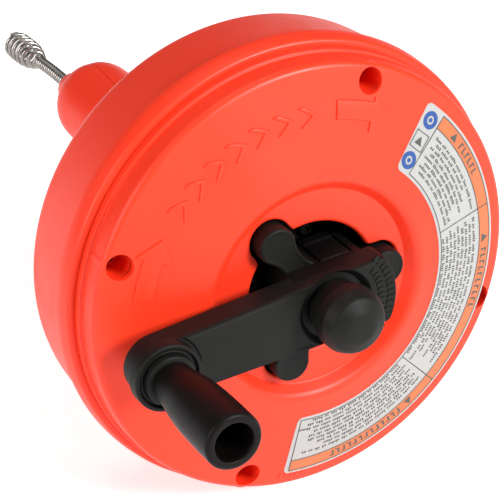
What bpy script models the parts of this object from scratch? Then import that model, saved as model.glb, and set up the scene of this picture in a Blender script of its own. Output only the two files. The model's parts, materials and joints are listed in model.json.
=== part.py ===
"""Hand-cranked drain snake machine: drum, cable, rotating front grip with feed trigger, removable crank.

Lengths are written in millimetres and scaled to metres as meshes are made. Every piece is modelled in the
machine's own axis frame: local Z is the spin axis and points from the nose to the crank, local Y is up, and
the origin is the centre of the drum's flange. The empty spin_axis then lays the machine down as it rests on
a bench, nose slightly low, on the flange and the front edge of the drum.
"""

import math

import bpy
from mathutils import Matrix, Vector

MM = 0.001
TAU = 2 * math.pi
GAP = 0.3                      # clearance between pieces that touch

# Drum
DRUM_SIDES = 48
FLANGE_R = 105.0
FLANGE_TOP = 8.6
WALL_REAR_R = 103.3            # side wall just in front of the flange
WALL_FRONT_R = 101.0           # side wall where the front rounding starts
FRONT_EDGE_Z = -31.5
FRONT_FILLET = 8.5
FRONT_Z = FRONT_EDGE_Z - FRONT_FILLET
WALL = 3.0
SEAT_R = 100.0                 # bore that the cover's skirt drops into
CAVITY_R = 97.4
NECK_R = 12.0
NECK_END = -92.0
NECK_BORE = 6.0
RING_Z = -89.3                 # front of the retaining ring's groove

# Rear cover
COVER_R = 99.5
SHOULDER_R = 100.8             # low ring where the cover meets the flange
SHOULDER_LOW = 9.0
SHOULDER_TOP = 12.4
CONE_IN_R = 51.8               # the cover's face is a shallow cone
CONE_IN_Z = 33.9
CONE_SLOPE = 0.215
EDGE_FILLET = 3.2
EDGE_R = 96.1                  # where the centre of the edge rounding lies
EDGE_Z = 21.1
COVER_SKIN = 2.6
SKIRT_END = -4.6
DISH_R = 46.0
DISH_FACE = 29.0
WELL_R = 92.0                  # pitch radius of the cover screws
WELL_HOLE = 5.75
WELL_FLOOR = 11.0
WELL_ANGLE = math.radians(67.8)
SOCKET_R = 30.0                # lobed socket that takes the crank
SOCKET_LOBE_END = 42.2
SOCKET_LOBE_HALF = 9.6
SOCKET_FLOOR = 8.0

# Crank
ARM_ANGLE = math.radians(183.1)
ARM_TOP = 50.2
ARM_THICK = 12.2
ARM_HALF_HUB = 16.0
ARM_HALF_KNOB = 13.4
PLATE_R = 29.4
KNOB_AT = 80.8
CRANK_FOOT = 12.4
SPOKE_TOP = 36.0
LOBE_AT = 33.0
LOBE_R = 8.5
SPOKE_HALF = 5.3
BOSS_ROOT_R = 12.6
BOSS_TOP = 71.4
TAB_FRONT = -1.3               # ends of each release tab, along the arm
TAB_REAR = -16.3
TAB_TOP = 36.6
TAB_FOOT = 15.0
HEX_FLATS = 8.0                # drive shaft, across flats
HUB_SCREW_R = 19.0
HUB_SCREW_ANGLE = ARM_ANGLE

# Knob
KNOB_BASE = 57.6
KNOB_END = 110.4
KNOB_R = 12.5
KNOB_WAIST_R = 9.3
KNOB_HOLE_R = 8.3
COLLAR_R = 15.2

# Grip
GRIP_REAR = -44.0
GRIP_TIP = -213.0
NOZZLE_REAR = -195.5
GRIP_SKIN = 2.6
GRIP_LIFT = 3.2                # how far the hand bulge stands off the spin axis
ROLLER_Z = -150.0
ROLLER_R = 5.0
ROLLER_SKEW = math.radians(20)
TRIGGER_Z = -180.0             # trigger pivot
TRIGGER_Y = -15.5
SPRING_Z = -124.0
SPRING_FOOT = -18.4
SPRING_TOP = -7.4
BEARING_R = 15.0
GRIP_SCREWS = [(10.5, -108.0), (16.0, -189.0), (-9.8, -194.5)]    # height and place of each

# Cable
CABLE_R = 3.175
CABLE_JOIN = -46.0             # where the run inside the neck meets the moving lead
KNEE_Z = -238.0                # where the free end starts to droop
CABLE_TIP = -254.0
BULB_LENGTH = 38.0
BULB_R = 7.4
BULB_TURNS = 7
DROOP = math.radians(3)        # how far the free end hangs from the spin axis
COIL_PITCH = 6.7
COIL_LAYERS = 4
COIL_TURNS = 4                 # turns in each layer
COIL_R = 61.5                  # innermost layer
COIL_START = math.radians(-60)
COIL_FRONT = -33.0
CLIP_R = COIL_R + COIL_PITCH * (COIL_LAYERS - 1) + 1.0
CLIP_ANGLE = COIL_START - math.radians(7.5)
ANCHOR = (CLIP_R * math.cos(CLIP_ANGLE), CLIP_R * math.sin(CLIP_ANGLE))

# Rest on the bench: the plane through the flange's front edge and the drum's front edge
FLAT = math.cos(math.pi / DRUM_SIDES)
REST_TILT = math.atan((FLANGE_R - WALL_FRONT_R) * FLAT / -FRONT_EDGE_Z)


def clear_scene():
    for obj in list(bpy.data.objects):
        bpy.data.objects.remove(obj, do_unlink=True)


def finish_material(name, colour, roughness, metallic=0.0):
    material = bpy.data.materials.new(name)
    material.use_nodes = True
    shader = material.node_tree.nodes["Principled BSDF"]
    shader.inputs["Base Color"].default_value = (*colour, 1.0)
    shader.inputs["Roughness"].default_value = roughness
    shader.inputs["Metallic"].default_value = metallic
    material.diffuse_color = (*colour, 1.0)
    return material


def empty(name, parent=None, place=(0, 0, 0)):
    holder = bpy.data.objects.new(name, None)
    bpy.context.scene.collection.objects.link(holder)
    holder.parent = parent
    holder.location = [value * MM for value in place]
    return holder


def solid(name, verts, faces, material, parent, sharp=35):
    """One object from points in millimetres, shaded smooth between faces closer than the sharp angle."""
    mesh = bpy.data.meshes.new(name)
    mesh.from_pydata([[value * MM for value in vert] for vert in verts], [], faces)
    mesh.shade_smooth()
    mesh.set_sharp_from_angle(angle=math.radians(sharp))
    mesh.materials.append(material)
    obj = bpy.data.objects.new(name, mesh)
    bpy.context.scene.collection.objects.link(obj)
    obj.parent = parent
    return obj


def signed_area(points):
    pairs = zip(points, points[1:] + points[:1])
    return sum(a[0] * b[1] - b[0] * a[1] for a, b in pairs) / 2


def arc(centre, radius, start, end, steps):
    """Points on a circle from one angle to another, in degrees, both ends included."""
    angles = [math.radians(start + (end - start) * i / steps) for i in range(steps + 1)]
    return [(centre[0] + radius * math.cos(a), centre[1] + radius * math.sin(a)) for a in angles]


def turned(name, profile, material, parent, sides=24, centre=(0, 0)):
    """A closed (radius, z) profile turned about an axis along local Z. Facets face local -Y, not corners."""
    profile = profile if signed_area(profile) > 0 else profile[::-1]
    verts, rings = [], []
    for radius, z in profile:
        count = sides if radius > 0 else 1
        rings.append(list(range(len(verts), len(verts) + count)))
        for i in range(count):
            angle = TAU * (i + 0.5) / sides
            x = centre[0] + radius * math.cos(angle)
            y = centre[1] + radius * math.sin(angle)
            verts.append((x, y, z))
    faces = []
    for lower, upper in zip(rings, rings[1:] + rings[:1]):
        for i in range(sides):
            j = (i + 1) % sides
            below = [lower[i % len(lower)], lower[j % len(lower)]]
            above = [upper[j % len(upper)], upper[i % len(upper)]]
            corners = list(dict.fromkeys(below + above))
            if len(corners) > 2:
                faces.append(corners)
    return solid(name, verts, faces, material, parent)


def prism(name, outline, bottom, top, material, parent, sharp=35):
    """A closed (x, y) outline raised from one height to another."""
    outline = outline if signed_area(outline) > 0 else outline[::-1]
    count = len(outline)
    verts = [(x, y, bottom) for x, y in outline] + [(x, y, top) for x, y in outline]
    faces = [list(range(count))[::-1], list(range(count, 2 * count))]
    for i in range(count):
        j = (i + 1) % count
        faces.append([i, j, count + j, count + i])
    return solid(name, verts, faces, material, parent, sharp)


def block(name, low, high, material, parent):
    outline = [(low[0], low[1]), (high[0], low[1]), (high[0], high[1]), (low[0], high[1])]
    return prism(name, outline, low[2], high[2], material, parent)


def loft(name, sections, material, parent, sides=24):
    """A closed skin through circles given as (z, radius, centre height), smallest z first, with flat ends."""
    verts, faces = [], []
    for z, radius, lift in sections:
        for i in range(sides):
            angle = TAU * (i + 0.5) / sides
            verts.append((radius * math.cos(angle), lift + radius * math.sin(angle), z))
    for ring in range(len(sections) - 1):
        for i in range(sides):
            j = (i + 1) % sides
            low, high = ring * sides, (ring + 1) * sides
            faces.append([low + i, low + j, high + j, high + i])
    faces.append(list(range(sides))[::-1])
    faces.append(list(range((len(sections) - 1) * sides, len(sections) * sides)))
    return solid(name, verts, faces, material, parent)


def swept(name, path, radius, material, parent, sides=6):
    """A round tube along a path, with flat ends. Its section is carried along without twisting."""
    path = [Vector(point) for point in path]
    tangents = []
    for i, point in enumerate(path):
        before = path[max(i - 1, 0)]
        after = path[min(i + 1, len(path) - 1)]
        tangents.append((after - before).normalized())
    side = tangents[0].orthogonal().normalized()
    verts, faces = [], []
    for point, tangent in zip(path, tangents):
        side = (side - tangent * side.dot(tangent)).normalized()
        other = tangent.cross(side)
        for i in range(sides):
            angle = TAU * i / sides
            verts.append(point + radius * (side * math.cos(angle) + other * math.sin(angle)))
    for ring in range(len(path) - 1):
        for i in range(sides):
            j = (i + 1) % sides
            low, high = ring * sides, (ring + 1) * sides
            faces.append([low + i, low + j, high + j, high + i])
    faces.append(list(range(sides))[::-1])
    faces.append(list(range((len(path) - 1) * sides, len(path) * sides)))
    return solid(name, verts, faces, material, parent, sharp=70)


def combine(target, tools, operation):
    """Joins helper solids to the target or cuts them from it, and keeps them as hidden guides."""
    for tool in tools:
        tool.hide_render = True
        tool.display_type = "WIRE"
        modifier = target.modifiers.new(f"{operation.lower()}_{tool.name}", "BOOLEAN")
        modifier.operation = operation
        modifier.solver = "EXACT"
        modifier.object = tool


def turn_tool(name, radius, bottom, top, centre=(0, 0), parent=None, sides=16):
    profile = [(0, bottom), (radius, bottom), (radius, top), (0, top)]
    return turned(name, profile, METALS["steel"], parent, sides, centre)


def polar(radius, angle):
    return radius * math.cos(angle), radius * math.sin(angle)


def socket_outline(core, half, end, step=7.5):
    """A circle with three rounded lobes, one along each spoke of the crank."""
    centre = end - half
    edge = math.asin(half / core)
    outline = []
    for lobe in range(3):
        axis = ARM_ANGLE + math.pi / 3 + lobe * TAU / 3
        outline.append(polar(core, axis - edge))
        outline += [
            (
                centre * math.cos(axis) + half * math.cos(axis + bend),
                centre * math.sin(axis) + half * math.sin(axis + bend),
            )
            for bend in [math.radians(-90 + 22.5 * i) for i in range(9)]
        ]
        outline.append(polar(core, axis + edge))
        span = TAU / 3 - 2 * edge
        steps = round(math.degrees(span) / step)
        outline += [polar(core, axis + edge + span * i / steps) for i in range(1, steps)]
    return outline


def hexagon(flats, turn=0.0):
    radius = flats / 2 / math.cos(math.pi / 6)
    return [polar(radius, turn + TAU * i / 6) for i in range(6)]


def screw(name, head_z, length, parent, place=(0, 0), head_r=3.6, head_h=2.4, shank_r=1.7, sides=10):
    """A pan-head screw that points along -Z, its head's underside at head_z, with a round driver recess."""
    profile = [
        (0, head_z + head_h * 0.5),
        (1.3, head_z + head_h * 0.55),
        (1.6, head_z + head_h),
        (head_r * 0.7, head_z + head_h),
        (head_r, head_z + head_h * 0.55),
        (head_r, head_z),
        (shank_r, head_z),
        (shank_r, head_z - length + 1.2),
        (0, head_z - length),
    ]
    return turned(name, profile, METALS["steel"], parent, sides, place)


# ---------------------------------------------------------------- drum


def front_shell():
    fillet = arc((WALL_FRONT_R - FRONT_FILLET, FRONT_EDGE_Z), FRONT_FILLET, 0, -90, 4)
    outer = [
        (101.4, FLANGE_TOP),
        (102.3, FLANGE_TOP - 0.2),
        (103.6, FLANGE_TOP - 1.8),
        (104.6, FLANGE_TOP - 4.8),
        (FLANGE_R, 0.0),
        (WALL_REAR_R, -0.9),
        *fillet,
        (30.0, FRONT_Z),
        (20.0, FRONT_Z - 1.6),
        (NECK_R + 3.0, FRONT_Z - 3.0),
        (NECK_R + 3.0, FRONT_Z - 5.5),
        (NECK_R, FRONT_Z - 5.5),
        (NECK_R, RING_Z + 1.8),
        (NECK_R - 1.4, RING_Z + 1.8),
        (NECK_R - 1.4, RING_Z),
        (NECK_R, RING_Z),
        (NECK_R, NECK_END),
        (NECK_BORE, NECK_END),
    ]
    inner_fillet = arc((CAVITY_R - 6.0, FRONT_Z + WALL + 6.0), 6.0, -90, 0, 3)
    inner = [
        (NECK_BORE, FRONT_Z + WALL),
        *inner_fillet,
        (CAVITY_R, SKIRT_END - GAP),
        (SEAT_R, SKIRT_END - GAP),
        (SEAT_R, FLANGE_TOP - 1.6),
    ]
    shell = turned("front_shell", outer + inner, PLASTICS["orange"], SPIN, DRUM_SIDES)
    posts, pilots = [], []
    for i in range(4):
        x, y = polar(WELL_R, WELL_ANGLE + i * TAU / 4)
        posts.append(turn_tool(f"post_{i}", 5.1, FRONT_Z + 1.0, WELL_FLOOR - 3.2, (x, y), SPIN))
        pilots.append(turn_tool(f"post_pilot_{i}", 2.1, -14.0, 20.0, (x, y), SPIN, 10))
    pilots.append(turn_tool("clip_pilot", 2.0, FRONT_Z + 0.8, FRONT_Z + 9.0, ANCHOR, SPIN, 10))
    combine(shell, posts, "UNION")
    combine(shell, pilots, "DIFFERENCE")
    return shell


def cover_top(radius):
    """Height of the cover's outside at a distance from the axis, between the dish and the edge."""
    if radius > EDGE_R + EDGE_FILLET * math.sin(math.atan(CONE_SLOPE)):
        return EDGE_Z + math.sqrt(EDGE_FILLET ** 2 - (radius - EDGE_R) ** 2)
    return CONE_IN_Z - CONE_SLOPE * (radius - CONE_IN_R)


def well_boss(name, centre):
    """The wall round a screw well, up to just below the sloping face."""
    x, y = centre
    ring = [(x + dx, y + dy) for dx, dy in (polar(7.6, TAU * i / 16) for i in range(16))]
    verts = [(px, py, WELL_FLOOR - 2.6) for px, py in ring]
    verts += [(px, py, cover_top(min(math.hypot(px, py), 99.1)) - 1.3) for px, py in ring]
    verts.append((x, y, cover_top(math.hypot(x, y)) - 1.3))
    faces = [list(range(16))[::-1]]
    for i in range(16):
        j = (i + 1) % 16
        faces.append([i, j, 16 + j, 16 + i])
        faces.append([16 + i, 16 + j, 32])
    return solid(name, verts, faces, PLASTICS["orange"], SPIN)


def rear_cover():
    cone_end = 90 - math.degrees(math.atan(CONE_SLOPE))
    skin = COVER_SKIN
    outer = [
        (COVER_R, SKIRT_END),
        (COVER_R, SHOULDER_LOW),
        (SHOULDER_R, SHOULDER_LOW),
        (SHOULDER_R, SHOULDER_TOP),
        (COVER_R, SHOULDER_TOP + 0.5),
        *arc((EDGE_R, EDGE_Z), EDGE_FILLET, 0, cone_end, 3),
        (CONE_IN_R, CONE_IN_Z),
        (CONE_IN_R - 1.0, CONE_IN_Z - 0.3),
        (DISH_R + 1.2, DISH_FACE + 0.7),
        (DISH_R, DISH_FACE),
        (24.0, DISH_FACE),
        (24.0, DISH_FACE - skin),
        (DISH_R + 1.4, DISH_FACE - skin),
        (CONE_IN_R + 0.6, CONE_IN_Z - 2.9),
        (EDGE_R - 1.5, 22.0),
        (EDGE_R + 0.5, 19.5),
        (COVER_R - 1.8, 10.0),
        (COVER_R - 1.8, SKIRT_END),
    ]
    cover = turned("rear_cover", outer, PLASTICS["orange"], SPIN, DRUM_SIDES)
    hole = socket_outline(SOCKET_R, SOCKET_LOBE_HALF, SOCKET_LOBE_END)
    bosses = []
    wells = [prism("socket_hole", hole, SOCKET_FLOOR, CONE_IN_Z + 5, PLASTICS["orange"], SPIN)]
    for i in range(4):
        angle = WELL_ANGLE + i * TAU / 4
        bosses.append(well_boss(f"well_boss_{i}", polar(WELL_R - 0.6, angle)))
        centre = polar(WELL_R, angle)
        wells.append(turn_tool(f"well_{i}", WELL_HOLE, WELL_FLOOR, CONE_IN_Z + 5, centre, SPIN))
        wells.append(turn_tool(f"well_pilot_{i}", 2.1, 0.0, WELL_FLOOR + 2, centre, SPIN, 10))
    combine(cover, bosses, "UNION")
    combine(cover, wells, "DIFFERENCE")
    return cover


def drive_socket():
    """The lobed cup under the cover's opening, screwed to the drive hub."""
    skin = COVER_SKIN
    outside = socket_outline(SOCKET_R + skin, SOCKET_LOBE_HALF + skin, SOCKET_LOBE_END + skin)
    inside = socket_outline(SOCKET_R + 0.2, SOCKET_LOBE_HALF + 0.2, SOCKET_LOBE_END + 0.2)
    low, high = SOCKET_FLOOR - skin, DISH_FACE - skin - GAP
    cup = prism("drive_socket", outside, low, high, PLASTICS["black"], SPIN)
    cuts = [prism("cup_hollow", inside, SOCKET_FLOOR, high + 5, PLASTICS["black"], SPIN)]
    cuts.append(turn_tool("hub_hole", 9.3, 0.0, 15.0, (0, 0), SPIN, 24))
    for i in range(3):
        x, y = polar(HUB_SCREW_R, HUB_SCREW_ANGLE + i * TAU / 3)
        cuts.append(turn_tool(f"hub_pilot_{i}", 2.1, 0.0, 15.0, (x, y), SPIN, 10))
    combine(cup, cuts, "DIFFERENCE")
    return cup


def drive_parts():
    floor = SOCKET_FLOOR - COVER_SKIN - GAP
    rim = SOCKET_FLOOR + 1.6
    profile = [(7.0, -3.0), (24.0, -3.0), (24.0, floor), (9.0, floor), (9.0, rim), (7.0, rim)]
    hub = turned("drive_hub", profile, METALS["zinc"], SPIN, 24)
    pilots = []
    for i in range(3):
        x, y = polar(HUB_SCREW_R, HUB_SCREW_ANGLE + i * TAU / 3)
        pilots.append(turn_tool(f"drive_hub_pilot_{i}", 2.1, -8.0, 15.0, (x, y), SPIN, 10))
        screw(f"hub_screw_{i + 1}", SOCKET_FLOOR + GAP, 11.5, SPIN, (x, y))
    combine(hub, pilots, "DIFFERENCE")
    shaft = prism("drive_shaft", hexagon(HEX_FLATS), -5.0, 31.0, METALS["steel"], SPIN)
    collar = turn_tool("drive_shaft_collar", 6.7, -7.0, 4.0, (0, 0), SPIN, 24)
    combine(shaft, [collar], "UNION")


def cover_screws():
    for i in range(4):
        place = polar(WELL_R, WELL_ANGLE + i * TAU / 4)
        screw(f"cover_screw_{i + 1}", WELL_FLOOR + GAP, 20.0, SPIN, place)


def sticker():
    """The arc-shaped sticker, wrapped on the cover's cone."""
    start, end = math.radians(47.4), math.radians(-100.8)
    steps = 24
    rows = [(61.6, 0.15), (92.6, 0.15), (92.6, 0.5), (61.6, 0.5)]
    verts = []
    for i in range(steps + 1):
        angle = start + (end - start) * i / steps
        verts += [(*polar(radius, angle), cover_top(radius) + lift) for radius, lift in rows]
    faces = [[3, 2, 1, 0], [4 * steps, 4 * steps + 1, 4 * steps + 2, 4 * steps + 3]]
    for i in range(steps):
        for k in range(4):
            m = (k + 1) % 4
            faces.append([4 * i + m, 4 * (i + 1) + m, 4 * (i + 1) + k, 4 * i + k])
    return solid("blank_label", verts, faces, PLASTICS["label"], SPIN)


# ---------------------------------------------------------------- cable


def coil_path():
    """The stored cable from its clip: layers wound inward, each one the other way along the drum."""
    per_turn = 14
    points = []
    climb_share, step_share = 0.95, 0.0375
    for i in range(COIL_LAYERS * COIL_TURNS * per_turn + 1):
        turns = i / per_turn
        layer = min(int(turns / COIL_TURNS), COIL_LAYERS - 1)
        along = turns / COIL_TURNS - layer
        climb = min(along / climb_share, 1.0)
        step = max(along - 1 + step_share, 0.0) / step_share
        radius = COIL_R + COIL_PITCH * (COIL_LAYERS - 1 - layer - step)
        rise = climb if layer % 2 == 0 else 1 - climb
        height = COIL_FRONT + COIL_PITCH * COIL_TURNS * climb_share * rise
        x, y = polar(radius, COIL_START + TAU * turns)
        points.append((x, y, height))
    return points


def run_in_path(last, heading):
    """A smooth way from the end of the coil to the spin axis."""
    start = Vector(last)
    end = Vector((0, 0, FRONT_Z - 2.0))
    inward = Vector((-last[0], -last[1], 0)).normalized()
    lead_in = start + Vector(heading) * 34.0 + inward * 20.0 + Vector((0, 0, 9.0))
    lead_out = end + Vector((0, 0, 50.0))
    points = []
    for i in range(1, 15):
        t = i / 14
        a = start.lerp(lead_in, t)
        b = lead_in.lerp(lead_out, t)
        c = lead_out.lerp(end, t)
        points.append(a.lerp(b, t).lerp(b.lerp(c, t), t))
    points.append(Vector((0, 0, CABLE_JOIN + GAP)))
    return points


def stored_cable():
    coil = coil_path()
    heading = (Vector(coil[-1]) - Vector(coil[-2])).normalized()
    path = [Vector(point) for point in coil] + run_in_path(coil[-1], heading)
    swept("cable_coil", path, CABLE_R - 0.05, METALS["spring_steel"], SPIN, 5)


def cable_end():
    """The piece of cable that slides out of the nozzle, and the open bulb auger wound on its end."""
    lead = [(0, 0, z) for z in (CABLE_JOIN, -100, -150, -200, -228, KNEE_Z)]
    bend = Vector((0, -math.sin(DROOP), -math.cos(DROOP)))
    knee = Vector((0, -0.2, KNEE_Z - 6.5))
    tip = knee + bend * (knee.z - CABLE_TIP)
    lead += [knee, tip]
    swept("cable_lead", lead, CABLE_R, METALS["spring_steel"], SPIN, 8)
    side = Vector((1, 0, 0))
    other = bend.cross(side)
    points = []
    per_turn = 12
    for i in range(BULB_TURNS * per_turn + 1):
        share = i / (BULB_TURNS * per_turn)
        swell = math.sin(math.pi * min(share * 1.25, 1.0) ** 0.75 / 2) if share < 0.8 else 1.0
        taper = 1.0 - 0.22 * max(share - 0.7, 0.0) / 0.3
        radius = (2.3 + (BULB_R - 0.9 - 2.3) * swell) * taper
        angle = TAU * BULB_TURNS * share
        along = GAP + 0.9 + (BULB_LENGTH - 2.0) * share
        points.append(tip + bend * along + radius * (side * math.cos(angle) + other * math.sin(angle)))
    swept("bulb_auger", points, 0.9, METALS["spring_steel"], SPIN, 5)


def anchor():
    x, y = ANCHOR
    low = FRONT_Z + WALL + GAP
    clip = block("cable_clip", (x - 5.5, y - 5.0, low), (x + 5.5, y + 5.0, low + 2.4), METALS["zinc"], SPIN)
    combine(clip, [turn_tool("cable_clip_hole", 2.0, low - 2, low + 6, ANCHOR, SPIN, 10)], "DIFFERENCE")
    screw("clip_screw", low + 2.4 + GAP, 4.2, SPIN, ANCHOR)


# ---------------------------------------------------------------- grip


GRIP_SECTIONS = [
    (GRIP_TIP, 8.2, 0.4),
    (-209.0, 9.2, 0.9),
    (-205.0, 10.6, 1.5),
    (-200.0, 13.4, 2.2),
    (-194.0, 17.0, 2.8),
    (-187.0, 20.2, GRIP_LIFT),
    (-180.0, 20.9, GRIP_LIFT),
    (-170.0, 20.4, 3.1),
    (-155.0, 19.7, 2.4),
    (-125.0, 19.0, 1.2),
    (-95.0, 20.0, 0.5),
    (-72.0, 22.5, 0.0),
    (-58.0, 27.0, 0.0),
    (-51.0, 30.5, 0.0),
    (GRIP_REAR, 31.0, 0.0),
]


def grip_cavity():
    """The hollow of the grip: nozzle seat, roller chamber and the bore that turns on the drum's neck."""
    chamber = [(z, radius - GRIP_SKIN, lift) for z, radius, lift in GRIP_SECTIONS[3:11]]
    chamber.append((RING_Z + 2.1, 17.4, 0.3))
    return [
        loft("grip_chamber", chamber, PLASTICS["orange"], SPIN, 20),
        turn_tool("grip_lip", NECK_R + 0.4, -95.0, -70.0, (0, 0), SPIN, 24),
        turn_tool("grip_bore", BEARING_R, -84.6, GRIP_REAR + 5, (0, 0), SPIN, 24),
        turn_tool("grip_flare", 22.0, -53.0, GRIP_REAR + 5, (0, 0), SPIN, 24),
        turn_tool("grip_nozzle_seat", 6.4, GRIP_TIP - 5, NOZZLE_REAR + 1.0, (0, 0), SPIN, 16),
        block("grip_trigger_slot", (-8.6, -40.0, -188.0), (8.6, -8.0, -100.0), PLASTICS["orange"], SPIN),
    ]


def grip_half(name, sign):
    half = loft(name, GRIP_SECTIONS, PLASTICS["orange"], SPIN, 24)
    keep = block(f"{name}_side", (0.15, -60, -260), (60, 60, 0), PLASTICS["orange"], SPIN)
    keep.rotation_euler = (0, 0, 0 if sign > 0 else math.pi)
    combine(half, [keep], "INTERSECT")
    combine(half, CAVITY, "DIFFERENCE")
    combine(half, PIN_HOLES, "DIFFERENCE")
    return half


def cross_tool(name, radius, y, z, low, high):
    """A hidden cylinder along local X, for screw and pin holes."""
    tool = turn_tool(name, radius, low, high, (0, 0), SPIN, 10)
    tool.matrix_local = Matrix.Translation((0, y * MM, z * MM)) @ Matrix.Rotation(math.pi / 2, 4, "Y")
    return tool


def roller(index, angle, parent, distance):
    """A skewed feed roller and its pin, beside the cable at the given angle."""
    x, y = polar(distance, angle)
    frame = Matrix.Translation((x * MM, y * MM, ROLLER_Z * MM))
    frame = frame @ Matrix.Rotation(ROLLER_SKEW, 4, Vector((math.cos(angle), math.sin(angle), 0)))
    end = ROLLER_R - 0.7
    barrel = [(1.9, -4.6), (end, -4.6), (ROLLER_R, -3.9), (ROLLER_R, 3.9), (end, 4.6), (1.9, 4.6)]
    wheel = turned(f"feed_roller_{index}", barrel, METALS["steel"], parent, 16)
    wheel.matrix_local = frame
    rod = [(0, -9.6), (1.5, -9.6), (1.5, 9.6), (0, 9.6)]
    pin = turned(f"roller_pin_{index}", rod, METALS["steel"], parent, 10)
    pin.matrix_local = frame
    hole = turn_tool(f"roller_hole_{index}", 1.8, -9.9, 9.9, (0, 0), parent, 10)
    hole.matrix_local = frame
    return hole


def roller_carrier():
    """The block that holds the two fixed rollers round the cable and seats the trigger's spring."""
    black = PLASTICS["black"]
    ring = [(4.6, -162.0), (14.6, -162.0), (14.6, -134.0), (4.6, -134.0)]
    body = turned("roller_carrier", ring, black, SPIN, 24)
    pockets = [block("carrier_mouth", (-20, -30, -165), (20, -4.2, -130), black, SPIN)]
    pockets.append(block("carrier_relief", (-7, -10, -157.4), (7, -1.6, -142.6), black, SPIN))
    holes = []
    for index, degrees in ((1, 35.0), (2, 145.0)):
        angle = math.radians(degrees)
        holes.append(roller(index, angle, SPIN, CABLE_R + 0.4 + ROLLER_R))
        pocket = block(f"carrier_pocket_{index}", (1.5, -6.2, -6.2), (22.0, 6.2, 6.2), black, SPIN)
        at_roller = Matrix.Translation((0, 0, ROLLER_Z * MM))
        pocket.matrix_local = at_roller @ Matrix.Rotation(angle, 4, "Z")
        pockets.append(pocket)
    combine(body, pockets, "DIFFERENCE")
    combine(body, holes, "DIFFERENCE")
    seat = block("spring_seat", (-7.0, SPRING_TOP + GAP, -138.2), (7.0, -3.8, -116.0), black, SPIN)
    combine(body, [seat], "UNION")
    return body


def trigger():
    """The feed lever under the grip: a long bar with two ears that carry its roller."""
    pivot = empty("trigger_axis", SPIN, (0, TRIGGER_Y, TRIGGER_Z))
    distance = CABLE_R + 2.4 + ROLLER_R
    side_view = [
        (-5.0, 2.0),
        (-3.4, 4.2),
        (2.5, 4.4),
        (8.0, 1.0),
        (40.0, -3.0),
        (68.0, -3.6),
        (76.0, -5.5),
        (78.0, -9.0),
        (75.0, -11.5),
        (60.0, -10.0),
        (30.0, -9.4),
        (5.0, -8.5),
        (-5.0, -6.0),
    ]
    bar = prism("feed_trigger", side_view, -7.8, 7.8, PLASTICS["black"], pivot, 30)
    # The side view is drawn as (distance behind the pivot, height); turn it to stand across local X.
    upright = Matrix(((0, 0, 1, 0), (0, 1, 0, 0), (1, 0, 0, 0), (0, 0, 0, 1)))
    for vert in bar.data.vertices:
        vert.co = upright @ vert.co
    bar.data.flip_normals()
    ears = []
    for index, z in enumerate((-160.8, -143.2)):
        low = (-4.5, -distance - 10.5 - TRIGGER_Y, z - TRIGGER_Z)
        high = (4.5, -distance + 3.0 - TRIGGER_Y, z + 4.0 - TRIGGER_Z)
        ears.append(block(f"trigger_ear_{index}", low, high, PLASTICS["black"], pivot))
    combine(bar, ears, "UNION")
    hole = roller(3, math.radians(-90), SPIN, distance)
    pin_hole = cross_tool("trigger_pin_hole", 2.3, TRIGGER_Y, TRIGGER_Z, -20, 20)
    combine(bar, [hole, pin_hole], "DIFFERENCE")
    return bar


def cross_pin(name, radius, half, y, z, material):
    pin = turned(name, [(0, -half), (radius, -half), (radius, half), (0, half)], material, SPIN, 12)
    pin.matrix_local = Matrix.Translation((0, y * MM, z * MM)) @ Matrix.Rotation(math.pi / 2, 4, "Y")
    return pin


def helix(name, base, axis, side, radius, length, turns, wire, material, parent):
    base, axis, side = Vector(base), Vector(axis), Vector(side)
    other = axis.cross(side)
    count = turns * 12
    points = []
    for i in range(count + 1):
        angle = TAU * turns * i / count
        around = side * math.cos(angle) + other * math.sin(angle)
        points.append(base + axis * (length * i / count) + radius * around)
    return swept(name, points, wire, material, parent, 5)


def grip_parts():
    grip_half("grip_half_right", 1)
    grip_half("grip_half_left", -1)
    for index, (y, z) in enumerate(GRIP_SCREWS):
        bolt = screw(f"grip_screw_{index + 1}", 5.6, 11.0, SPIN)
        place = Matrix.Translation((0, y * MM, z * MM))
        bolt.matrix_local = place @ Matrix.Rotation(math.pi / 2, 4, "Y")
    nozzle = [
        (4.2, GRIP_TIP - 2.2),
        (6.6, GRIP_TIP - 2.2),
        (7.4, GRIP_TIP - 1.4),
        (7.4, GRIP_TIP - GAP),
        (6.0, GRIP_TIP - GAP),
        (6.0, NOZZLE_REAR),
        (4.2, NOZZLE_REAR),
    ]
    turned("nozzle_bush", nozzle, PLASTICS["black"], SPIN, 20)
    inner, outer = NECK_R + GAP, BEARING_R - GAP
    bush = [(inner, -84.3), (outer, -84.3), (outer, -45.9), (inner, -45.9)]
    turned("neck_bush", bush, PLASTICS["bearing"], SPIN, 24)
    ring_z = RING_Z + GAP
    ring = [(NECK_R - 1.1, ring_z), (14.4, ring_z), (14.4, ring_z + 1.2), (NECK_R - 1.1, ring_z + 1.2)]
    clip = turned("neck_retaining_ring", ring, METALS["steel"], SPIN, 24)
    mouth = block("retaining_ring_mouth", (-4, 4, ring_z - 3), (4, 30, ring_z + 4), METALS["steel"], SPIN)
    combine(clip, [mouth], "DIFFERENCE")
    cross_pin("trigger_pin", 2.0, 10.6, TRIGGER_Y, TRIGGER_Z, METALS["steel"])
    height = SPRING_TOP - SPRING_FOOT - 1.2
    base = (0, SPRING_FOOT + 0.6, SPRING_Z)
    helix("trigger_spring", base, (0, 1, 0), (1, 0, 0), 3.8, height, 5, 0.5, METALS["spring_steel"], SPIN)


# ---------------------------------------------------------------- crank


def in_crank(u, v):
    """A point in the crank's own plane, u along the arm, turned into the drum's x and y."""
    c, s = math.cos(ARM_ANGLE), math.sin(ARM_ANGLE)
    return u * c - v * s, u * s + v * c


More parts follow.
